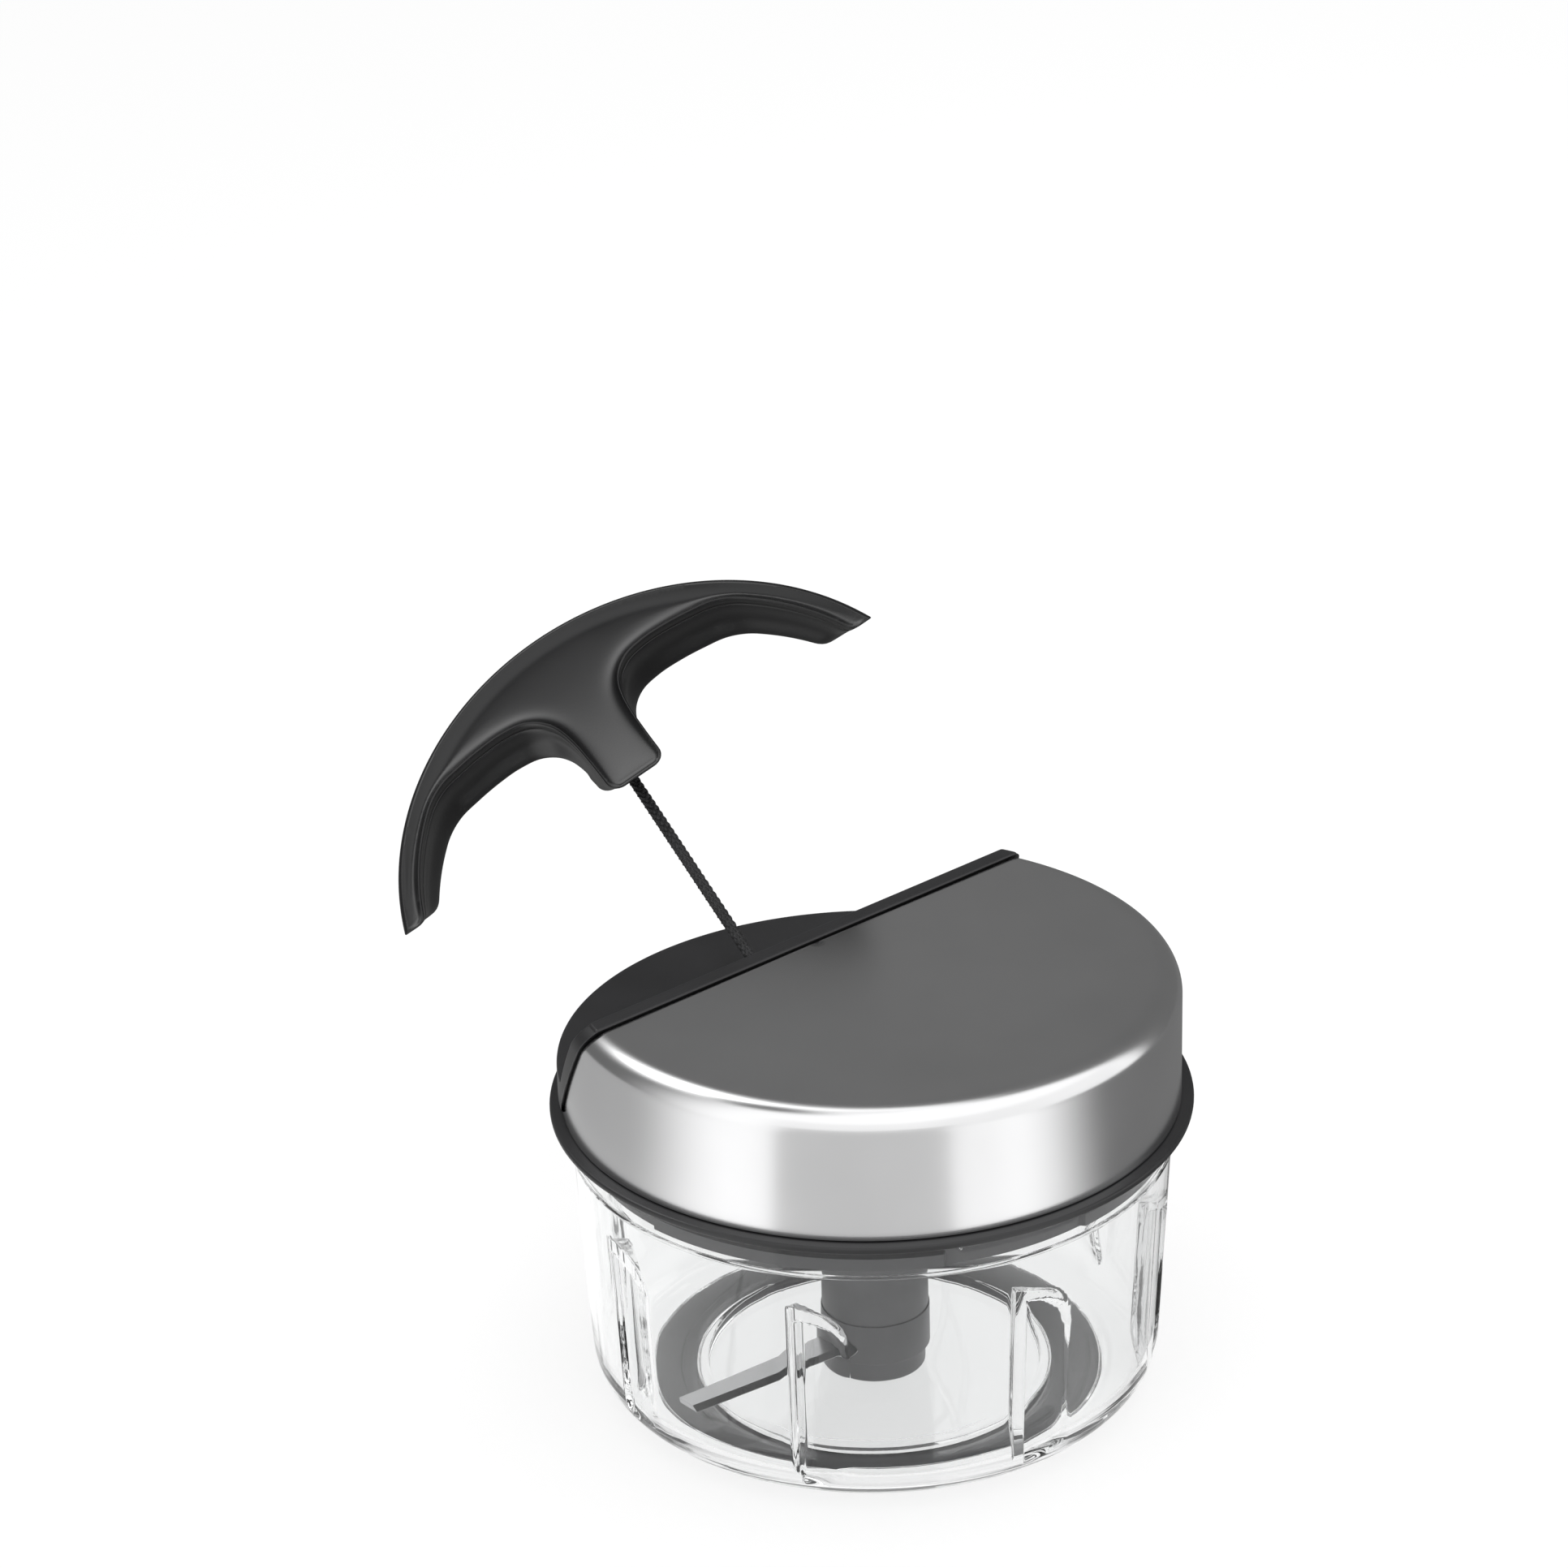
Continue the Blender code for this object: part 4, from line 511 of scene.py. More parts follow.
baffle = baffle * (1 - step_between(groove_top - fade + RIB_WALL, groove_top + RIB_WALL, height))
depth = np.where(outside[:, None], groove, baffle + BOWL_WALL)
excess = depth - (wall_radius - radius)
SOFT = 0.0004
pressed = np.maximum(0, (excess + np.sqrt(excess ** 2 + SOFT ** 2) - SOFT) / 2)
pressed = np.where((height < COLLAR_FOOT - 0.0006) & (radius > 0.0340), pressed, 0)
from_ledge = np.abs(from_nearest(LEDGE_ANGLES, columns))[None]
ledge = (1 - step_between(radians(11.8), radians(12.5), from_ledge)) * step_between(0.0585, 0.0588, height)
ledge = 0.0014 * ledge * (1 - step_between(0.0600, 0.0603, height)) * ~outside[:, None]
radius = radius - pressed - np.where(height > 0.0560, ledge, 0)
bowl = grid_mesh("clear_bowl", around_z(radius, columns, height), smooth=180)

# Flow marks: long faint waves in the clear plastic, and a haze of fine marks in its gloss
flow, given = new_group("flow_marks", Wave_Scale=60.0)
place = add_node(flow, "TexCoord").outputs["Object"]
put_out(flow, Height=add_node(flow, "TexNoise", Vector=place, Scale=given["Wave Scale"]),
        Haze=add_node(flow, "TexNoise", Vector=place, Scale=900.0, Detail=4.0))

clear_plastic, tree, shader = new_material("clear_plastic", (0.975, 0.98, 0.98), 0.02,
                                           Transmission_Weight=1.0, IOR=1.36)
marks = add_node(tree, "Group", group=flow).outputs
feed(tree, shader, Normal=add_node(tree, "Bump", Strength=0.35, Distance=0.00012, Height=marks["Height"]),
     Roughness=add_node(tree, "MapRange", Value=marks["Haze"], To_Min=0.008, To_Max=0.035))
in_shadow = add_node(tree, "LightPath").outputs["Is Shadow Ray"]
pale = add_node(tree, "BsdfTransparent", Color=(0.90, 0.90, 0.90, 1))
feed(tree, tree.nodes["Material Output"], Surface=add_node(tree, "MixShader", in_shadow, shader, pale))
hand_over(bowl, clear_plastic, "bowl", "bowl")


# Anti-slip ring
# A grey rubber ring pushed into the groove under the bowl's foot. It keeps the bowl still on a table, and shows
# through the clear floor.
CIRCLE = np.linspace(0, 2 * pi, 192, endpoint=False)
corners = [(0.03701, 0, 0.00025), (0.04621, 0, 0.00025), (0.04621, 0.0013, 0.00025), (0.03701, 0.0013, 0.00025)]
grip_ring = grid_mesh("grip_ring", turned_points(rounded(corners, closed=True), CIRCLE), wrap_rows=True)

# Moulded grain: a fine pitted skin and slow changes of tone, as on any spark-eroded mould
grain, given = new_group("moulded_grain", Grain_Scale=2600.0, Base_Roughness=0.4, Change=0.06)
place = add_node(grain, "TexCoord").outputs["Object"]
pits = add_node(grain, "TexNoise", Vector=place, Scale=given["Grain Scale"], Detail=2.0)
cloud = add_node(grain, "TexNoise", Vector=place, Scale=55.0, Detail=3.0)
spread = add_node(grain, "Math", cloud, given["Change"], operation='MULTIPLY')
put_out(grain, Height=pits, Tone=cloud, Roughness=add_node(grain, "Math", given["Base Roughness"], spread))


def surfaced(tree, shader, work, dark, light, strength, depth):
    """Feeds a shader's colour, roughness and normal with the tone, roughness and height of a group's work."""
    tone = tone_between(tree, work["Tone"], 0.3, dark, 0.7, light)
    bump = add_node(tree, "Bump", Strength=strength, Distance=depth, Height=work["Height"])
    feed(tree, shader, Base_Color=tone, Roughness=work["Roughness"], Normal=bump)


def moulded(name, dark, light, roughness, grain_scale=2600.0, pit_depth=0.000012):
    """A moulded plastic or rubber: grain in its normal, its roughness and, faintly, its colour."""
    made, tree, shader = new_material(name, dark, roughness)
    skin = add_node(tree, "Group", grain_scale, roughness - 0.03, group=grain)
    surfaced(tree, shader, skin.outputs, dark, light, 0.6, pit_depth)
    return made


grip_rubber = moulded("grip_rubber", (0.075, 0.075, 0.079), (0.092, 0.092, 0.096), 0.75, 1500.0, 0.00003)
hand_over(grip_ring, grip_rubber, "anti_slip_ring", "bowl")


# Blade tower
# A dark grey moulded hub that drops over the steel pin in the bowl. Its foot and waist stand a little apart
# from the shaft, and the socket in its top, with two ribs, takes the dog under the lid.
def gathered(places, half, first, last, fine, coarse):
    """Angles round a circle: coarse steps everywhere, and fine ones from first to last beyond half on both
    sides of each place."""
    steps = np.arange(first, last, fine)
    near = (np.asarray(places)[:, None] + np.concatenate((half + steps, -half - steps))[None]).ravel()
    every = np.unique(np.round(np.mod(np.concatenate((near, np.arange(0, 2 * pi, coarse))), 2 * pi), 6))
    return every[np.diff(every, prepend=-1) > fine * 0.4]


SOCKET_RADIUS = 0.0074
SOCKET_RIB_DEPTH = 0.0022


def on_socket(profile):
    """Which points of the tower's profile lie on the socket's wall."""
    radius, height = profile.T
    return (radius > 0.0070) & (radius < 0.0079) & (height > 0.0479) & (height < 0.0542)


tower_corners = [(0, 0.0403, 0), (0.0028, 0.0403, 0.0002), (0.0028, 0.0055, 0.0003), (0.0055, 0.0055, 0.0003),
                 (0.0055, 0.0015, 0.0003), (0.0102, 0.0015, 0.0007), (0.0102, 0.0060, 0.0002),
                 (0.0112, 0.0060, 0.0004), (0.0112, 0.0150, 0.0001), (0.01085, 0.0150, 0.0001),
                 (0.01085, 0.0154, 0.0001), (0.0110, 0.0154, 0.0002), (0.0110, 0.0545, 0.0004),
                 (0.0074, 0.0545, 0.0004), (0.0074, 0.0480, 0.0003), (0, 0.0480, 0)]
profile = rounded(tower_corners)
first_row, last_row = np.flatnonzero(on_socket(profile))[[0, -1]]
extra = np.stack((np.full(10, SOCKET_RADIUS), np.linspace(profile[first_row, 1], 0.0486, 10)), axis=-1)
profile = np.concatenate((profile[:first_row + 1], extra[1:-1], profile[last_row:]))
SOCKET_RIBS = (pi / 2, -pi / 2)
angles = gathered(SOCKET_RIBS, 0, radians(8.0), radians(13.0), radians(0.5), radians(3.0))
rib = 1 - step_between(radians(9.5), radians(11.5), np.abs(from_nearest(SOCKET_RIBS, angles)))
points = turned_points(profile, angles)
points[..., :2] *= (1 - rib * on_socket(profile)[:, None] * SOCKET_RIB_DEPTH / SOCKET_RADIUS)[..., None]
blade_tower = grid_mesh("tower", points)
grey_plastic = moulded("dark_grey_plastic", (0.125, 0.125, 0.128), (0.150, 0.150, 0.154), 0.42)
hand_over(blade_tower, grey_plastic, "blade_tower", "blade")


# Blades
# Two strips of hardened steel, 1 mm thick, moulded into the tower at different heights and pointing opposite
# ways. Each narrows to a slanting tip and is ground to an edge along its front, and leans 8 degrees.
def blade_points(height, angle):
    """Sections of a strip from root to tip. At the share s of its length the front stands at 5.6 - 2.6 s mm,
    the ground face takes the last 1.3 mm of the top, and the end slants by 0.7 mm from the back to the
    front."""
    s = np.linspace(0, 1, 25)[:, None]
    front = 0.0056 - 0.0026 * s
    back = np.full_like(front, -0.0036)
    y = np.concatenate((back, front, front, front - 0.0013, front - 0.0015, back), axis=1)
    z = np.broadcast_to(np.array((-0.5, -0.5, -0.4, 0.44, 0.5, 0.5)) / 1000, y.shape)
    x = 0.0040 + s * (0.0475 + 0.0007 * (y + 0.0036) / 0.0066 - 0.0040)
    points = np.stack((x, y, z), axis=-1)
    ends = [np.repeat(points[end].mean(axis=0)[None, None], 6, axis=1) for end in (0, -1)]
    points = np.concatenate((ends[0], points, ends[1]))
    place = Matrix.Rotation(angle, 3, 'Z') @ Matrix.Rotation(radians(8.0), 3, 'X')
    return points @ np.array(place).T + np.array((0, 0, height))


# Brushing: streaks along one direction, with a cloudy change of gloss
brushing, given = new_group("brushing", Along_X=30.0, Along_Y=30.0, Along_Z=5000.0,
                            Base_Roughness=0.25, Change=0.08)
place = add_node(brushing, "TexCoord").outputs["Object"]
scales = add_node(brushing, "CombineXYZ", given["Along X"], given["Along Y"], given["Along Z"])
stretched = add_node(brushing, "VectorMath", place, scales, operation='MULTIPLY')
streak = add_node(brushing, "TexNoise", Vector=stretched, Scale=1.0, Detail=3.0)
cloud = add_node(brushing, "TexNoise", Vector=place, Scale=38.0, Detail=4.0)
spread = add_node(brushing, "Math", cloud, given["Change"], operation='MULTIPLY')
put_out(brushing, Height=streak, Tone=cloud,
        Roughness=add_node(brushing, "Math", given["Base Roughness"], spread))


def steel(name, colour, roughness, streaks, depth, change=0.08):
    """Brushed or ground metal with streaks of the given counts per metre along X, Y and Z."""
    made, tree, shader = new_material(name, colour, roughness, Metallic=1.0)
    work = add_node(tree, "Group", *streaks, roughness - change / 2, change, group=brushing)
    dark, light = ([min(1, value * share) for value in colour] for share in (0.97, 1.02))
    surfaced(tree, shader, work.outputs, dark, light, 0.5, depth)
    return made


# The blades' ground steel is given a darker colour than the turned steel as painted shade, for the shade the
# blades lie in under the lid inside the bowl.
ground_steel_painted_shade = steel("ground_steel_painted_shade", (0.46, 0.46, 0.465), 0.25, (60.0, 4200.0, 4200.0), 0.000006)
for name, height, angle in (("lower_blade", 0.0088, radians(176)), ("upper_blade", 0.0330, radians(-4))):
    blade = grid_mesh(name + "_steel", blade_points(height, angle), smooth=12)
    hand_over(blade, ground_steel_painted_shade, name, "blade")


def dress(node, finish):
    """Gives a CAD node's object a finish in each of its material slots."""
    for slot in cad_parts[node].material_slots:
        slot.material = finish


# Pin, shaft and fasteners
# The pin in the bowl's floor, the drive shaft and the screws are turned from stainless bar. They stay as the
# solids are, in bright turned steel with fine rings from the tool.
turned_steel = steel("turned_steel", (0.62, 0.62, 0.63), 0.20, (900.0, 900.0, 6000.0), 0.000004)
screws = [f"{kind}_screw_{number}" for kind, count in (("guard", 3), ("housing", 4), ("handle", 2))
          for number in range(1, count + 1)]
for node in ("blade_pin", "drive_shaft", "spool_screw", *screws):
    dress(node, turned_steel)


# Lid base
# Black moulded plate under the lid: a flange that rests on the bowl's rim, a skirt with four locking lugs
# inside the collar, and an upstand that centres the top housing. Four screws come up through its floor.
def carved(piece, cutters=()):
    """Applies a piece's own modifiers, cuts closed pieces out of it and removes the cutters."""
    for cutter in cutters:
        step = piece.modifiers.new("cut", 'BOOLEAN')
        step.operation = 'DIFFERENCE'
        step.object = cutter
    bpy.context.view_layer.update()
    graph = bpy.context.evaluated_depsgraph_get()
    mesh = bpy.data.meshes.new_from_object(piece.evaluated_get(graph))
    piece.modifiers.clear()
    piece.data = mesh
    for cutter in cutters:
        bpy.data.objects.remove(cutter, do_unlink=True)
    return piece


def round_bar(name, radius, low, high, place=(0, 0), hole=0.0, columns=48, ease=0.0002):
    """A short upright cylinder or, with a hole, a tube, with eased edges."""
    corners = [(hole, low, ease), (radius, low, ease), (radius, high, ease), (hole, high, ease)]
    made = rounded(corners, closed=bool(hole), steps=2)
    angles = np.linspace(0, 2 * pi, columns, endpoint=False)
    return grid_mesh(name, turned_points(made, angles) + np.array((*place, 0)), wrap_rows=bool(hole))


def merged(piece, others):
    """Joins the meshes of other pieces, as they are, to a piece."""
    shape = bmesh.new()
    shape.from_mesh(piece.data)
    for other in others:
        shape.from_mesh(other.data)
        bpy.data.objects.remove(other, do_unlink=True)
    shape.to_mesh(piece.data)
    shape.free()
    return piece


POSTS = [(side * RIM_RADIUS * x, RIM_RADIUS * y)
         for x, y in ((0.343, -0.595), (0.556, 0.596)) for side in (1, -1)]
LUG_ANGLES = np.radians(30.85 + 90 * np.arange(4))
LUG_DEPTH = 0.0013
SKIRT_RADIUS = 0.0573
base_corners = [(0.0650, 0.0637, 0.0005), (0.0650, 0.0623, 0.0005), (SKIRT_RADIUS, 0.0623, 0.0004),
                (SKIRT_RADIUS, 0.0550, 0.0002), (0.0048, 0.0550, 0.0002), (0.0048, 0.0655, 0.0002),
                (0.0064, 0.0655, 0.0003), (0.0064, 0.0570, 0.0004), (0.02301, 0.0570, 0.0003),
                (0.02301, 0.06162, 0.0002), (0.02441, 0.06162, 0.0002), (0.02441, 0.0570, 0.0003),
                (0.0555, 0.0570, 0.0005), (0.0555, 0.0637, 0.0003), (0.0579, 0.0637, 0.0003),
                (0.0579, 0.0670, 0.0003), (0.0594, 0.0670, 0.0004), (0.0594, 0.0637, 0.0003)]
profile = rounded(base_corners, closed=True, steps=3)
skirt = np.flatnonzero((np.abs(profile[:, 0] - SKIRT_RADIUS) < 1e-5) & (profile[:, 1] > 0.0600))
lug_rows = np.concatenate((np.linspace(0.0553, 0.0556, 4), np.linspace(0.0580, 0.0584, 5),
                           np.linspace(0.0560, 0.0575, 3)))
lug_rows = np.unique(np.round(lug_rows, 6))[::-1]
after = skirt[-1] + 1
extra = np.stack((np.full(len(lug_rows), SKIRT_RADIUS), lug_rows), axis=-1)
profile = np.concatenate((profile[:after], extra, profile[after:]))
profile = profile[np.linalg.norm(np.diff(profile, axis=0, prepend=profile[-1:]), axis=1) > 1e-6]
angles = gathered(LUG_ANGLES, radians(30.0), radians(-0.8), radians(0.9), radians(0.2), radians(2.0))
points = turned_points(profile, angles)
radius, height = profile.T
lug = 1 - step_between(radians(29.6), radians(30.2), np.abs(from_nearest(LUG_ANGLES, angles)))[None]
lug = lug * (step_between(0.0552, 0.0555, height) * (1 - step_between(0.0581, 0.0584, height)))[:, None]
on_skirt = (np.abs(radius - SKIRT_RADIUS) < 2e-4) & (height > 0.0551) & (height < 0.0600)
points[..., :2] *= (1 + lug * on_skirt[:, None] * LUG_DEPTH / SKIRT_RADIUS)[..., None]
lid_base = grid_mesh("lid_floor", points, wrap_rows=True)
lid_base = carved(lid_base, [round_bar("recess", 0.0030, 0.0510, 0.0580, place) for place in POSTS])
guard_places = [(0.03014 * cos(a), 0.03014 * sin(a)) for a in np.radians((30, 150, 270))]
bosses = [round_bar("boss", 0.0042, 0.0570, 0.0590, place, hole=0.0016) for place in POSTS]
bosses += [round_bar("boss", 0.0030, 0.0569, 0.0620, place, hole=0.0016) for place in guard_places]
merged(lid_base, bosses)
lid_base.data.set_sharp_from_angle(angle=radians(40))
black_plastic = moulded("black_plastic", (0.021, 0.021, 0.022), (0.026, 0.026, 0.0275), 0.40)
hand_over(lid_base, black_plastic, "lid_base", "lid")
lid_base.data.materials.append(moulded("matt_skirt", (0.085, 0.085, 0.088), (0.105, 0.105, 0.108), 0.50))
for face in lid_base.data.polygons:
    face.material_index = int(face.center.z < 0.0620 and np.hypot(face.center.x, face.center.y) > 0.0565)


# Seal ring
# A soft grey ring under the flange that closes the gap to the collar and keeps the juice in.
corners = [(0.0576, 0.0605, 0.0004), (0.0587, 0.0605, 0.0004),
           (0.0587, 0.0620, 0.0004), (0.0576, 0.0620, 0.0004)]
seal = grid_mesh("seal", turned_points(rounded(corners, closed=True), CIRCLE), wrap_rows=True)
seal_rubber = moulded("seal_rubber", (0.10, 0.10, 0.105), (0.12, 0.12, 0.126), 0.70, 1500.0, 0.00002)
hand_over(seal, seal_rubber, "seal_ring", "lid_rise")


# Works of the lid
# Spool, dog and guard are plain mouldings, the bush is sintered bronze and the spring a blued steel strip.
# They sit inside the lid and stay as the solids are.
natural_plastic = moulded("natural_plastic", (0.66, 0.65, 0.60), (0.72, 0.71, 0.67), 0.45, 1900.0, 0.00001)
inner_plastic = moulded("inner_plastic", (0.060, 0.060, 0.063), (0.072, 0.072, 0.075), 0.45, 2200.0)
bronze = steel("sintered_bronze", (0.56, 0.39, 0.20), 0.42, (2600.0, 2600.0, 2600.0), 0.00002)
blued_steel = steel("blued_steel", (0.26, 0.28, 0.33), 0.33, (500.0, 500.0, 5200.0), 0.000005)
for node, finish in (("cord_spool", natural_plastic), ("drive_dog", natural_plastic),
                     ("cord_guard", inner_plastic), ("spring_cover", inner_plastic),
                     ("shaft_bush", bronze), ("recoil_spring", blued_steel)):
    dress(node, finish)


# Steel cover
# Brushed stainless sheet, 0.8 mm thick, drawn to a cap with a 5 mm shoulder. It is trimmed along the platform
# at the slope of the strip, and a narrow hem runs on round the back at the foot of the platform.
SLOPE = tan(radians(35))
STRIP_TOP = 0.0919
COVER_RADIUS = 0.0625
COVER_TOP = 0.0911
COVER_EDGE = 0.0153
HEM = 0.0020
HEM_TOP = 0.0660


def strip_line(z, edge):
    """Where a plane with the strip's slope lies at the height z, from its place at the strip's top."""
    return edge + (STRIP_TOP - z) * SLOPE


def cap_points(radius, shoulder, bottom, top, edge, columns):
    """The outside of a cap on the near side of a sloping plane. Each row runs from one end of the plane round
    the front to the other, and the flat top's rows draw together at the middle of its straight side."""
    wall = np.append(np.linspace(bottom, bottom + HEM, 5)[:-1], np.linspace(bottom + HEM, top - shoulder, 40))
    bend = np.linspace(0, pi / 2, 22)[1:]
    r = np.append(np.full(len(wall), radius), radius - shoulder * (1 - np.cos(bend)))
    z = np.append(wall, top - shoulder * (1 - np.sin(bend)))
    reach = np.arcsin(np.clip(strip_line(np.maximum(z, HEM_TOP), edge) / r, -1, 1))
    angle = (pi - reach)[:, None] + np.linspace(0, 1, columns)[None] * (pi + 2 * reach)[:, None]
    rim = around_z(r[:, None], angle, z[:, None])
    middle = np.array((0, strip_line(top, edge), top))
    inwards = np.linspace(0, 1, 34)[1:, None, None]
    return np.concatenate((rim, rim[-1][None] * (1 - inwards) + middle * inwards))


def thickened(piece, thickness, even=False):
    """Turns an open surface to face outward, by its first face, and gives it a thickness inwards."""
    first = piece.data.polygons[0]
    if first.normal.dot(first.center) < 0:
        piece.data.flip_normals()
    sheet = piece.modifiers.new("sheet", 'SOLIDIFY')
    sheet.thickness = thickness
    sheet.offset = -1
    sheet.use_even_offset = even
    carved(piece)


def welded(piece, others=(), reach=0.000002):
    """Joins pieces to one, closes the seams where their points meet and turns the faces outward."""
    merged(piece, others)
    shape = bmesh.new()
    shape.from_mesh(piece.data)
    bmesh.ops.remove_doubles(shape, verts=shape.verts, dist=reach)
    bmesh.ops.dissolve_degenerate(shape, edges=shape.edges, dist=reach)
    bmesh.ops.recalc_face_normals(shape, faces=shape.faces)
    shape.to_mesh(piece.data)
    shape.free()
    return piece


cover_points = cap_points(COVER_RADIUS, 0.0050, 0.0640, COVER_TOP, COVER_EDGE, 261)
steel_cover = grid_mesh("cover", cover_points, wrap_columns=False, smooth=60)
side = np.arcsin(strip_line(HEM_TOP, COVER_EDGE) / COVER_RADIUS)
hem_points = around_z(COVER_RADIUS, np.linspace(side, pi - side, 81), cover_points[:5, 0, 2][:, None])
welded(steel_cover, [grid_mesh("hem", hem_points, wrap_columns=False)])
thickened(steel_cover, 0.0008, even=True)
softening = steel_cover.modifiers.new("edge", 'BEVEL')
softening.width = 0.00018
softening.segments = 2
softening.limit_method = 'ANGLE'
softening.angle_limit = radians(50)
brushed_steel = steel("brushed_steel", (0.86, 0.86, 0.865), 0.22, (12.0, 12.0, 5200.0), 0.000011, change=0.05)
hand_over(steel_cover, brushed_steel, "steel_cover", "lid")


# Top housing
# Black moulding that carries the handle's platform and the raised strip along the steel's edge. Under the
# steel it runs on as a thin liner, and four posts reach down from it to the screws.
HOUSING_RADIUS = 0.0632
HOUSING_SHOULDER = 0.0055
SHOULDER_FOOT = 0.0864
PLATFORM_TOP = 0.0732
STRIP_NEAR, STRIP_FAR = 0.0160, 0.0197


def eased_outline(sides, counts, width):
    """A closed outline, given as sides that follow one another, with its corners rounded.

    The outline is averaged over a width by running totals: (total(s + w / 2) - total(s - w / 2)) / w. It is
    read at even spots along each side and at closer ones near the side's ends."""
    whole = np.concatenate([side[:-1] for side in sides] + [sides[0][:1]])
    run = run_along(whole)
    step = width / 12
    fine = np.arange(-width, run[-1] + width, step)
    totals = np.cumsum(read_along(whole, run, np.mod(fine, run[-1])), axis=0) * step
    spots, start = [], 0
    for side, count in zip(sides, counts):
        length = np.linalg.norm(np.diff(side, axis=0), axis=1).sum()
        near = np.minimum(width * np.array((0.14, 0.28, 0.42, 0.60)), length * np.array((0.1, 0.2, 0.3, 0.4)))
        far = np.linspace(near[-1], length - near[-1], count)[1:-1]
        spots.append(start + np.concatenate(([0], near, far, length - near[::-1])))
        start += length
    spots = np.concatenate(spots)
    return (read_along(totals, fine, spots + width / 2) - read_along(totals, fine, spots - width / 2)) / width


def circle_part(radius, start, end, count=200):
    """Points on a circle about the middle from one angle to another."""
    return around_z(radius, np.linspace(start, end, count), 0)[:, :2]


def straight(start, end):
    """The two ends of a straight side."""
    return np.array((start, end), float)


def housing_outline(z, inset, platform=False):
    """The housing at a height: a straight side along the strip's near edge, then the right end, the far side
    and the left end. The far side follows the strip's far edge or, for the platform, the lid's circle."""
    shoulder = max(0, z - SHOULDER_FOOT)
    radius = HOUSING_RADIUS - (HOUSING_SHOULDER - sqrt(max(0, HOUSING_SHOULDER ** 2 - shoulder ** 2))) - inset
    near = strip_line(z, STRIP_NEAR) + inset
    far = strip_line(max(z, PLATFORM_TOP), STRIP_FAR) - inset
    start, turn_off = np.arcsin(near / radius), np.arcsin(far / radius)
    x_near, x_far = radius * cos(start), radius * cos(turn_off)
    beyond = circle_part(radius, turn_off, pi - turn_off) if platform else straight((x_far, far), (-x_far, far))
    sides = [straight((-x_near, near), (x_near, near)), circle_part(radius, start, turn_off, 30), beyond,
             circle_part(radius, pi - turn_off, pi - start, 30)]
    return eased_outline(sides, (60, 16, 130, 16), 0.0009)


def lifted(outline, height):
    """An outline as points at one height, or each at its own."""
    return np.column_stack((outline, np.broadcast_to(height, len(outline))))


def flat_fill(name, loop, spacing, height=None, dip=None):
    """A face over a closed loop of points, as triangles with evenly spaced points inside. A dip, given the
    distance from the loop and the places, lowers the points."""
    flat = loop[:, :2]
    low, high = flat.min(axis=0), flat.max(axis=0)
    x, y = np.meshgrid(np.arange(low[0], high[0], spacing), np.arange(low[1], high[1], spacing * 0.87))
    x = x + (np.arange(len(x)) % 2)[:, None] * spacing / 2
    inside = np.stack((x.ravel(), y.ravel()), axis=-1)
    ahead = np.roll(flat, -1, axis=0)

    def distance(places):
        """The least distance from each place to the loop's edges."""
        edge = ahead - flat
        past = places[:, None] - flat[None]
        share = np.clip(np.einsum("pij,ij->pi", past, edge) / (edge ** 2).sum(axis=1), 0, 1)
        return np.linalg.norm(past - share[..., None] * edge[None], axis=-1).min(axis=1)

    crossing = (flat[None, :, 1] > inside[:, None, 1]) != (ahead[None, :, 1] > inside[:, None, 1])
    run, rise = ahead[:, 0] - flat[:, 0], ahead[:, 1] - flat[:, 1]
    lean = run / np.where(np.abs(rise) < 1e-12, 1e-12, rise)
    meets = flat[None, :, 0] + (inside[:, None, 1] - flat[None, :, 1]) * lean[None]
    inside = inside[(crossing & (meets > inside[:, None, 0])).sum(axis=1) % 2 == 1]
    inside = inside[distance(inside) > spacing * 0.45]
    places = np.concatenate((flat, inside))
    edges = [(index, (index + 1) % len(flat)) for index in range(len(flat))]
    made = delaunay_2d_cdt([Vector(place) for place in places], edges, [], 1, 1e-9)
    spots = np.array([tuple(spot) for spot in made[0]])
    source = np.array([first[0] if first else -1 for first in made[3]])
    level = np.full(len(spots), loop[:, 2].mean())
    if height is not None:
        level = height(spots)
    if dip is not None:
        level = level + dip(distance(spots), spots)
    on_loop = (source >= 0) & (source < len(loop))
    level[on_loop] = loop[source[on_loop], 2]
    mesh = bpy.data.meshes.new(name)
    mesh.from_pydata(np.column_stack((spots, level)).tolist(), [], [list(face) for face in made[2]])
    mesh.shade_smooth()
    made = bpy.data.objects.new(name, mesh)
    scene.collection.objects.link(made)
    return made


below_deck = [(0.0712, 0.0028), (0.0690, 0.0028), (0.0666, 0.0028), (0.0663, 0.0026), (0.0663, 0.0002),
              (0.0665, 0), (0.0680, 0), (0.0700, 0), (0.0715, 0), (0.0725, 0)]
rows = [lifted(housing_outline(z, inset, platform=True), z) for z, inset in below_deck]
END_POINTS, FAR_POINTS = 16 + 7, 130 + 7
RIM_EASE, STRIP_EASE, INSET_STEP = 0.0007, 0.0006, 0.0002
drawn_in = np.array([housing_outline(PLATFORM_TOP, inset, platform=True)
                     for inset in INSET_STEP * np.arange(5)])
number = np.arange(drawn_in.shape[1])
first = len(number) - END_POINTS - FAR_POINTS
on_far_side = (number >= first) & (number < first + FAR_POINTS)
from_end = np.minimum(number - first, first + FAR_POINTS - 1 - number)
on_rim = np.where(on_far_side, np.minimum(1, from_end / 12), 0)
for turn_in in np.radians(np.arange(0, 91, 18)):
    want = on_rim * RIM_EASE * (1 - cos(turn_in)) / INSET_STEP
    whole = np.minimum(want.astype(int), 3)
    share = (want - whole)[:, None]
    spots = drawn_in[whole, number] * (1 - share) + drawn_in[whole + 1, number] * share
    rows.append(lifted(spots, PLATFORM_TOP - on_rim * RIM_EASE * (1 - sin(turn_in))))


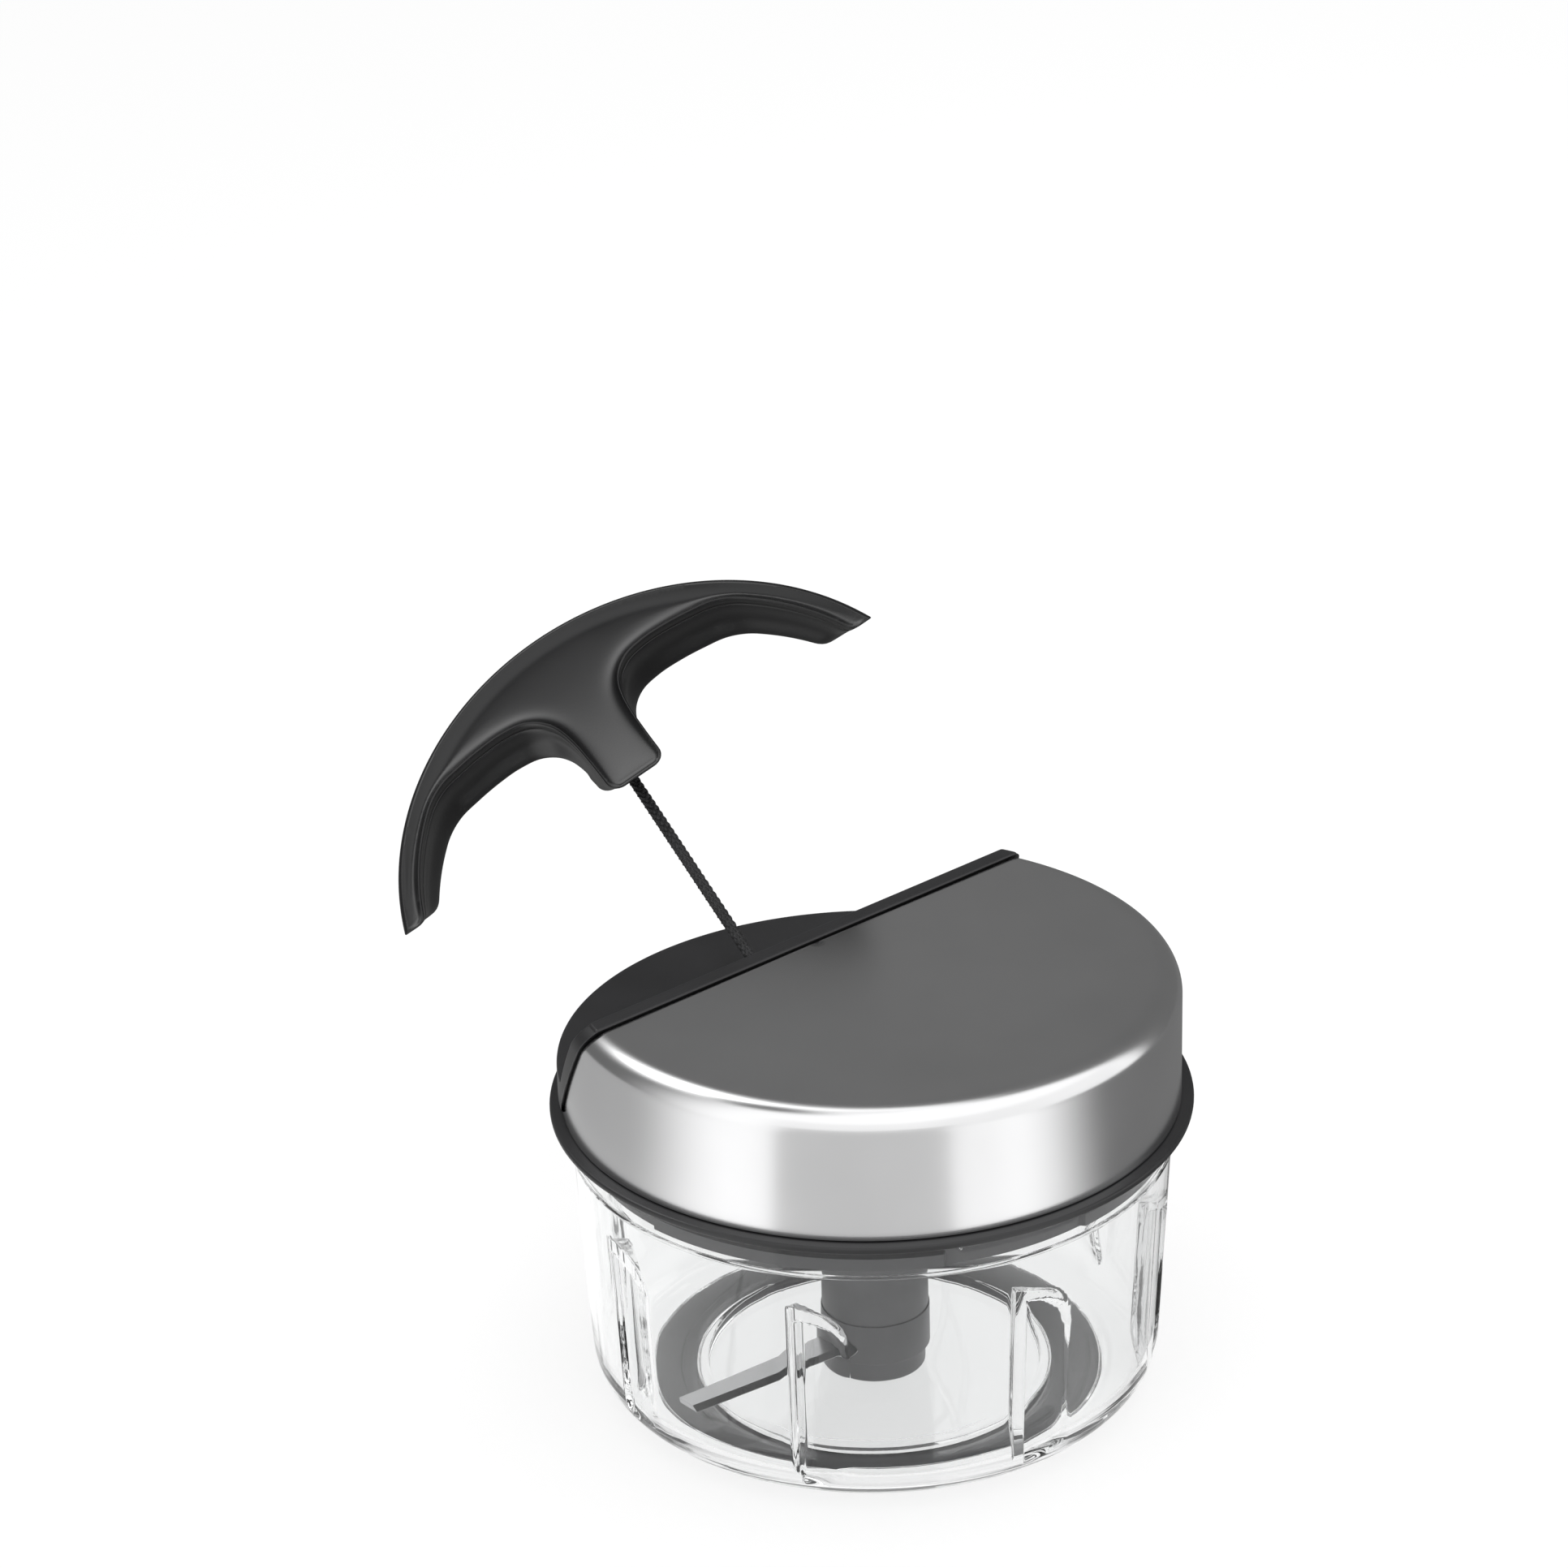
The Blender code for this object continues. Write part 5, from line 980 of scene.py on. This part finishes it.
def over_platform(z, inset):
    """The housing over the platform, with the foot of the sloped wall alone drawn in by an inset."""
    return np.where(on_far_side[:, None], housing_outline(z, inset), housing_outline(z, 0))


rim_row, foot = rows[-1][:, :2], over_platform(PLATFORM_TOP, -0.0004)
for share in np.linspace(0, 1, 26)[1:]:
    rows.append(lifted(rim_row * (1 - share) + foot * share, PLATFORM_TOP))
for z, inset in ((0.07325, -0.00022), (0.0734, -0.0001), (0.0736, 0)):
    rows.append(lifted(over_platform(z, inset), z))
for z in np.append(np.linspace(0.0736, SHOULDER_FOOT, 14)[1:], np.linspace(SHOULDER_FOOT, COVER_TOP, 12)[1:]):
    rows.append(lifted(housing_outline(z, 0), z))
for turn_in in np.radians(np.arange(0, 91, 15)):
    z = STRIP_TOP - STRIP_EASE * (1 - sin(turn_in))
    rows.append(lifted(housing_outline(min(z, 0.0914), STRIP_EASE * (1 - cos(turn_in))), z))
top_housing = grid_mesh("housing", np.array(rows), smooth=35)
welded(top_housing, [flat_fill("hollow_roof", rows[0], 0.004), flat_fill("strip_top", rows[-1], 0.0012)])
liner = grid_mesh("liner", cap_points(0.0614, 0.0039, 0.0643, 0.0900, 0.0170, 121), wrap_columns=False)
thickened(liner, 0.0015)
posts = [round_bar("post", 0.0032, 0.0593, top, place)
         for place, top in zip(POSTS, (0.0892, 0.0892, 0.0715, 0.0715))]
merged(top_housing, [liner, *posts])
top_housing.data.set_sharp_from_angle(angle=radians(35))
hand_over(top_housing, black_plastic, "top_housing", "lid")
dress("cord_eyelet", inner_plastic)


# Handle
# Two black mouldings screwed together from below: a dished top shell, and a deeper body whose stem holds the
# cord's knot. Both lie in the handle's own axes first, x across, y out from the lid and z up from the top
# face.
HANDLE_RADIUS = 0.0624
SHOULDER = np.array([(0.552, 0.716), (0.474, 0.733), (0.385, 0.745), (0.288, 0.747), (0.212, 0.731),
                     (0.164, 0.695), (0.136, 0.650), (0.122, 0.600), (0.1160, 0.560), (0.1125, 0.520),
                     (0.1100, 0.460)])
STEM_FRONT, STEM_SIDE, STEM_CORNER = 0.0182, 0.00675, 0.0030
KNOT_IN_HANDLE = Vector((0, 0.03172, -0.0153))
handle_place = (Matrix.Translation(CORD_KNOT)
                @ Matrix.Rotation(radians(39.5), 4, Vector((0.5313, -0.7724, -0.3492)).normalized())
                @ Matrix.Translation(-KNOT_IN_HANDLE))


def through(points, count):
    """A smooth line through points: cubic pieces with slopes from their neighbours, read evenly."""
    run = run_along(points)
    slope = np.gradient(points, run, axis=0)
    s = np.linspace(0, run[-1], count)
    index = np.clip(np.searchsorted(run, s) - 1, 0, len(run) - 2)
    gap = (run[index + 1] - run[index])[:, None]
    t = (s - run[index])[:, None] / gap
    return ((2 * t ** 3 - 3 * t ** 2 + 1) * points[index] + (t ** 3 - 2 * t ** 2 + t) * gap * slope[index]
            + (3 * t ** 2 - 2 * t ** 3) * points[index + 1] + (t ** 3 - t ** 2) * gap * slope[index + 1])


def handle_outline(depth, inset):
    """The handle's outline at a depth below its top face, drawn in by an inset, from the right tip round the
    outer arc to the left tip and back along the inner edge and the stem. The arms' inner corners are
    rounded."""
    front = STEM_FRONT + depth * SLOPE
    radius = HANDLE_RADIUS - inset
    tip = np.arcsin((front + inset) / radius)
    arm = circle_part(0.0574, radians(8), radians(46), 40)
    stem = [(STEM_SIDE, STEM_FRONT), (STEM_SIDE, 0)]
    line = through(np.concatenate((arm, SHOULDER * HANDLE_RADIUS, stem)), 400)
    along = np.gradient(line, axis=0)
    along /= np.linalg.norm(along, axis=1, keepdims=True)
    line = line + np.stack((along[:, 1], -along[:, 0]), axis=-1) * inset
    crown = line[:, 1].argmax()
    rising, falling = line[:crown + 1], line[crown:][::-1]
    tip_x = np.interp(front + inset, rising[:, 1], rising[:, 0])
    side_x = np.interp(front + STEM_CORNER, falling[:, 1], falling[:, 0])
    corner_end = front + inset + 0.0020
    number, height = np.arange(len(line)), line[:, 1]
    middle = line[(number > crown) & (height > front + STEM_CORNER) | (number <= crown) & (height > corner_end)]
    curve = corner_curve(np.array((tip_x + 0.0018, front + inset)), np.array((tip_x, front + inset)),
                         np.array((np.interp(corner_end, rising[:, 1], rising[:, 0]), corner_end)),
                         np.linspace(0, 1, 9)[:-1, None])
    right = np.concatenate((curve, middle, [(side_x, front + STEM_CORNER)]))
    corner_centre = (side_x - STEM_CORNER + inset, front + STEM_CORNER)
    corner = circle_part(STEM_CORNER - inset, 0, -pi / 2, 12) + corner_centre
    mirror = np.array((-1, 1))
    outer = circle_part(radius, tip, pi - tip, 300)
    sides = [outer, straight(outer[-1], right[0] * mirror), right * mirror, corner * mirror,
             straight(corner[-1] * mirror, corner[-1]), corner[::-1], right[::-1], straight(right[0], outer[0])]
    return eased_outline(sides, HANDLE_COUNTS, 0.0011)


HANDLE_COUNTS = (170, 8, 84, 6, 12, 6, 84, 8)
INSETS, DEPTHS = np.linspace(0, 0.0024, 9), np.linspace(0, 0.0210, 8)
outlines = np.array([[handle_outline(depth, inset) for depth in DEPTHS] for inset in INSETS])
per_side = np.array(HANDLE_COUNTS) + 7
side_of = np.repeat(np.arange(8), per_side)
columns = np.arange(len(side_of))


def handle_points(inset, depth, shift=0.0):
    """A row of points, each at its own inset and depth, read between the stored outlines. A shift moves the
    arms' end faces back as a greater depth would."""
    i, j = np.clip(inset / INSETS[1], 0, 7.999), np.clip((depth + shift / SLOPE) / DEPTHS[1], 0, 6.999)
    i, j = np.broadcast_to(i, columns.shape), np.broadcast_to(j, columns.shape)
    low, shallow = i.astype(int), j.astype(int)
    a, b = (i - low)[:, None], (j - shallow)[:, None]
    read = lambda first, second: outlines[first, second, columns]
    flat = ((1 - a) * ((1 - b) * read(low, shallow) + b * read(low, shallow + 1))
            + a * ((1 - b) * read(low + 1, shallow) + b * read(low + 1, shallow + 1)))
    return np.column_stack((flat, np.broadcast_to(-np.asarray(depth), columns.shape)))


def by_side(values, spread=9):
    """One value for each side of the outline, evened out from side to side."""
    level = np.asarray(values, float)[side_of]
    weights = np.hanning(2 * spread + 3)[1:-1]
    padded = np.concatenate((level[-spread:], level, level[:spread]))
    return np.convolve(padded, weights / weights.sum(), "valid")


def dished(distance, spots):
    """How far the top face sinks: a gutter that falls from the outer arc towards the inner edge, with a
    hollow from the stem's front to the crown."""
    from_arc = HANDLE_RADIUS - np.hypot(*spots[:, :2].T)
    gutter = 0.00040 * step_between(0.0006, 0.0046, from_arc) * step_between(0, 0.0008, distance)
    along = np.clip(1 - ((spots[:, 1] - 0.0440) / 0.0240) ** 2, 0, 1)
    return -gutter - 0.00145 * along * (1 - np.exp(-distance / 0.0012))


top_edge = by_side((0.0013, 0.0006, 0.0004, 0.0005, 0.0006, 0.0005, 0.0004, 0.0006))
rows = [handle_points(0.00025, 0.0022), handle_points(0.0001, 0.0022), handle_points(0.0, 0.0021)]
for turn_in in np.radians(np.arange(0, 91, 9)):
    rows.append(handle_points(top_edge * (1 - cos(turn_in)), top_edge * (1 - sin(turn_in))))
handle_top = grid_mesh("handle_shell", np.array(rows), smooth=50)
welded(handle_top, [flat_fill("dish", rows[-1], 0.0006, dip=dished), flat_fill("under", rows[0], 0.003)])
handle_top.data.transform(handle_place)
handle_top.data.set_sharp_from_angle(angle=radians(50))
handle_plastic = moulded("handle_plastic", (0.0075, 0.0075, 0.0080), (0.0095, 0.0095, 0.0101), 0.29)
hand_over(handle_top, handle_plastic, "handle_top", "handle")


# Handle body
# The lower moulding is 13.5 mm deep, a little hollowed along the arms' inner sides, with rounded lower edges.
# Its stem reaches 2.2 mm deeper under the cord's mouth, and two screws are sunk in its underside.
def underside(spots):
    """The depth of the underside: 16 mm, and 18.2 mm under the stem."""
    stem = (1 - step_between(0.0352, 0.0378, spots[:, 1])) * (np.abs(spots[:, 0]) < 0.012)
    return -0.0160 - 0.0022 * stem


low_edge = by_side((0.0022, 0.0016, 0.0016, 0.0014, 0.0010, 0.0014, 0.0016, 0.0016), spread=6)
end_edge = by_side((0.0022, 0.0032, 0.0016, 0.0014, 0.0010, 0.0014, 0.0016, 0.0032), spread=6)
along_side = np.concatenate([np.linspace(0, 1, count) for count in per_side])
at_ends = np.select([side_of == 2, side_of == 6, (side_of > 2) & (side_of < 6)],
                    [1 - step_between(0, 0.5, along_side), step_between(0.5, 1, along_side), 0 * along_side],
                    1.0)
inner = by_side((0, 0, 1, 0.3, 0, 0.3, 1, 0))
foot = handle_points(low_edge, np.full(len(columns), 0.0170))
bottom = -underside(foot)
rows = [handle_points(0.0008, 0.00225), handle_points(0.00075, 0.0025), handle_points(0.0002, 0.0025),
        handle_points(0.00005, 0.00256), handle_points(0.0, 0.0027)]
for share in np.linspace(0, 1, 17)[1:]:
    depth = 0.0027 + share * (bottom - end_edge - 0.0027)
    rows.append(handle_points(inner * 0.0006 * np.sin(pi * share) ** 2, depth))
for turn_in in np.radians(np.arange(10, 91, 10)):
    rows.append(handle_points(low_edge * (1 - cos(turn_in)), bottom - end_edge * (1 - sin(turn_in)),
                              at_ends * 0.0032 * (1 - cos(turn_in))))
handle_body = grid_mesh("handle_shell_below", np.array(rows), smooth=50)
welded(handle_body, [flat_fill("tongue", rows[0], 0.003),
                     flat_fill("belly", rows[-1], 0.0011, height=underside)])
wells = [round_bar("well", 0.0030, -0.0200, -0.0122, (side * 0.353 * HANDLE_RADIUS, 0.857 * HANDLE_RADIUS))
         for side in (1, -1)]
mouth = round_bar("mouth", 0.0014, 0.0, 0.0090, columns=32)
cord_way = Vector(-CORD_LINE)
cord_way.rotate(handle_place.to_3x3().inverted().to_quaternion())
mouth.data.transform(Matrix.Translation(KNOT_IN_HANDLE)
                     @ Vector((0, 0, 1)).rotation_difference(cord_way).to_matrix().to_4x4())
carved(handle_body, [*wells, mouth])
handle_body.data.transform(handle_place)
handle_body.data.set_sharp_from_angle(angle=radians(50))
hand_over(handle_body, handle_plastic, "handle_body", "handle")


# Cord knot
# The cord's end is tied in a tight knot that sits in a pocket inside the stem. It is of the same black braid.
def knot_points(centre, radius):
    """A ball with three turns laid over it: r = R (0.90 + 0.08 |cos(1.5 p + t)| + 0.02 cos(24 p) cos(18 t)),
    with both waves times sin(p). Here t goes round the ball and p from pole to pole."""
    p, t = np.linspace(0, pi, 61)[:, None], np.linspace(0, 2 * pi, 97)[None, :-1]
    swell = 0.08 * np.abs(np.cos(1.5 * p + t)) * np.sin(p) + 0.02 * np.cos(24 * p) * np.cos(18 * t) * np.sin(p)
    r = radius * (0.90 + swell)
    points = np.stack((r * np.sin(p) * np.cos(t), r * np.sin(p) * np.sin(t), r * np.cos(p) + 0 * t), axis=-1)
    points[[0, -1], :, :2] = 0
    return points + np.array(centre)


cord_knot = grid_mesh("knot", knot_points(CORD_KNOT, 0.0015), smooth=80)
hand_over(cord_knot, black_braid, "cord_knot", "draw")
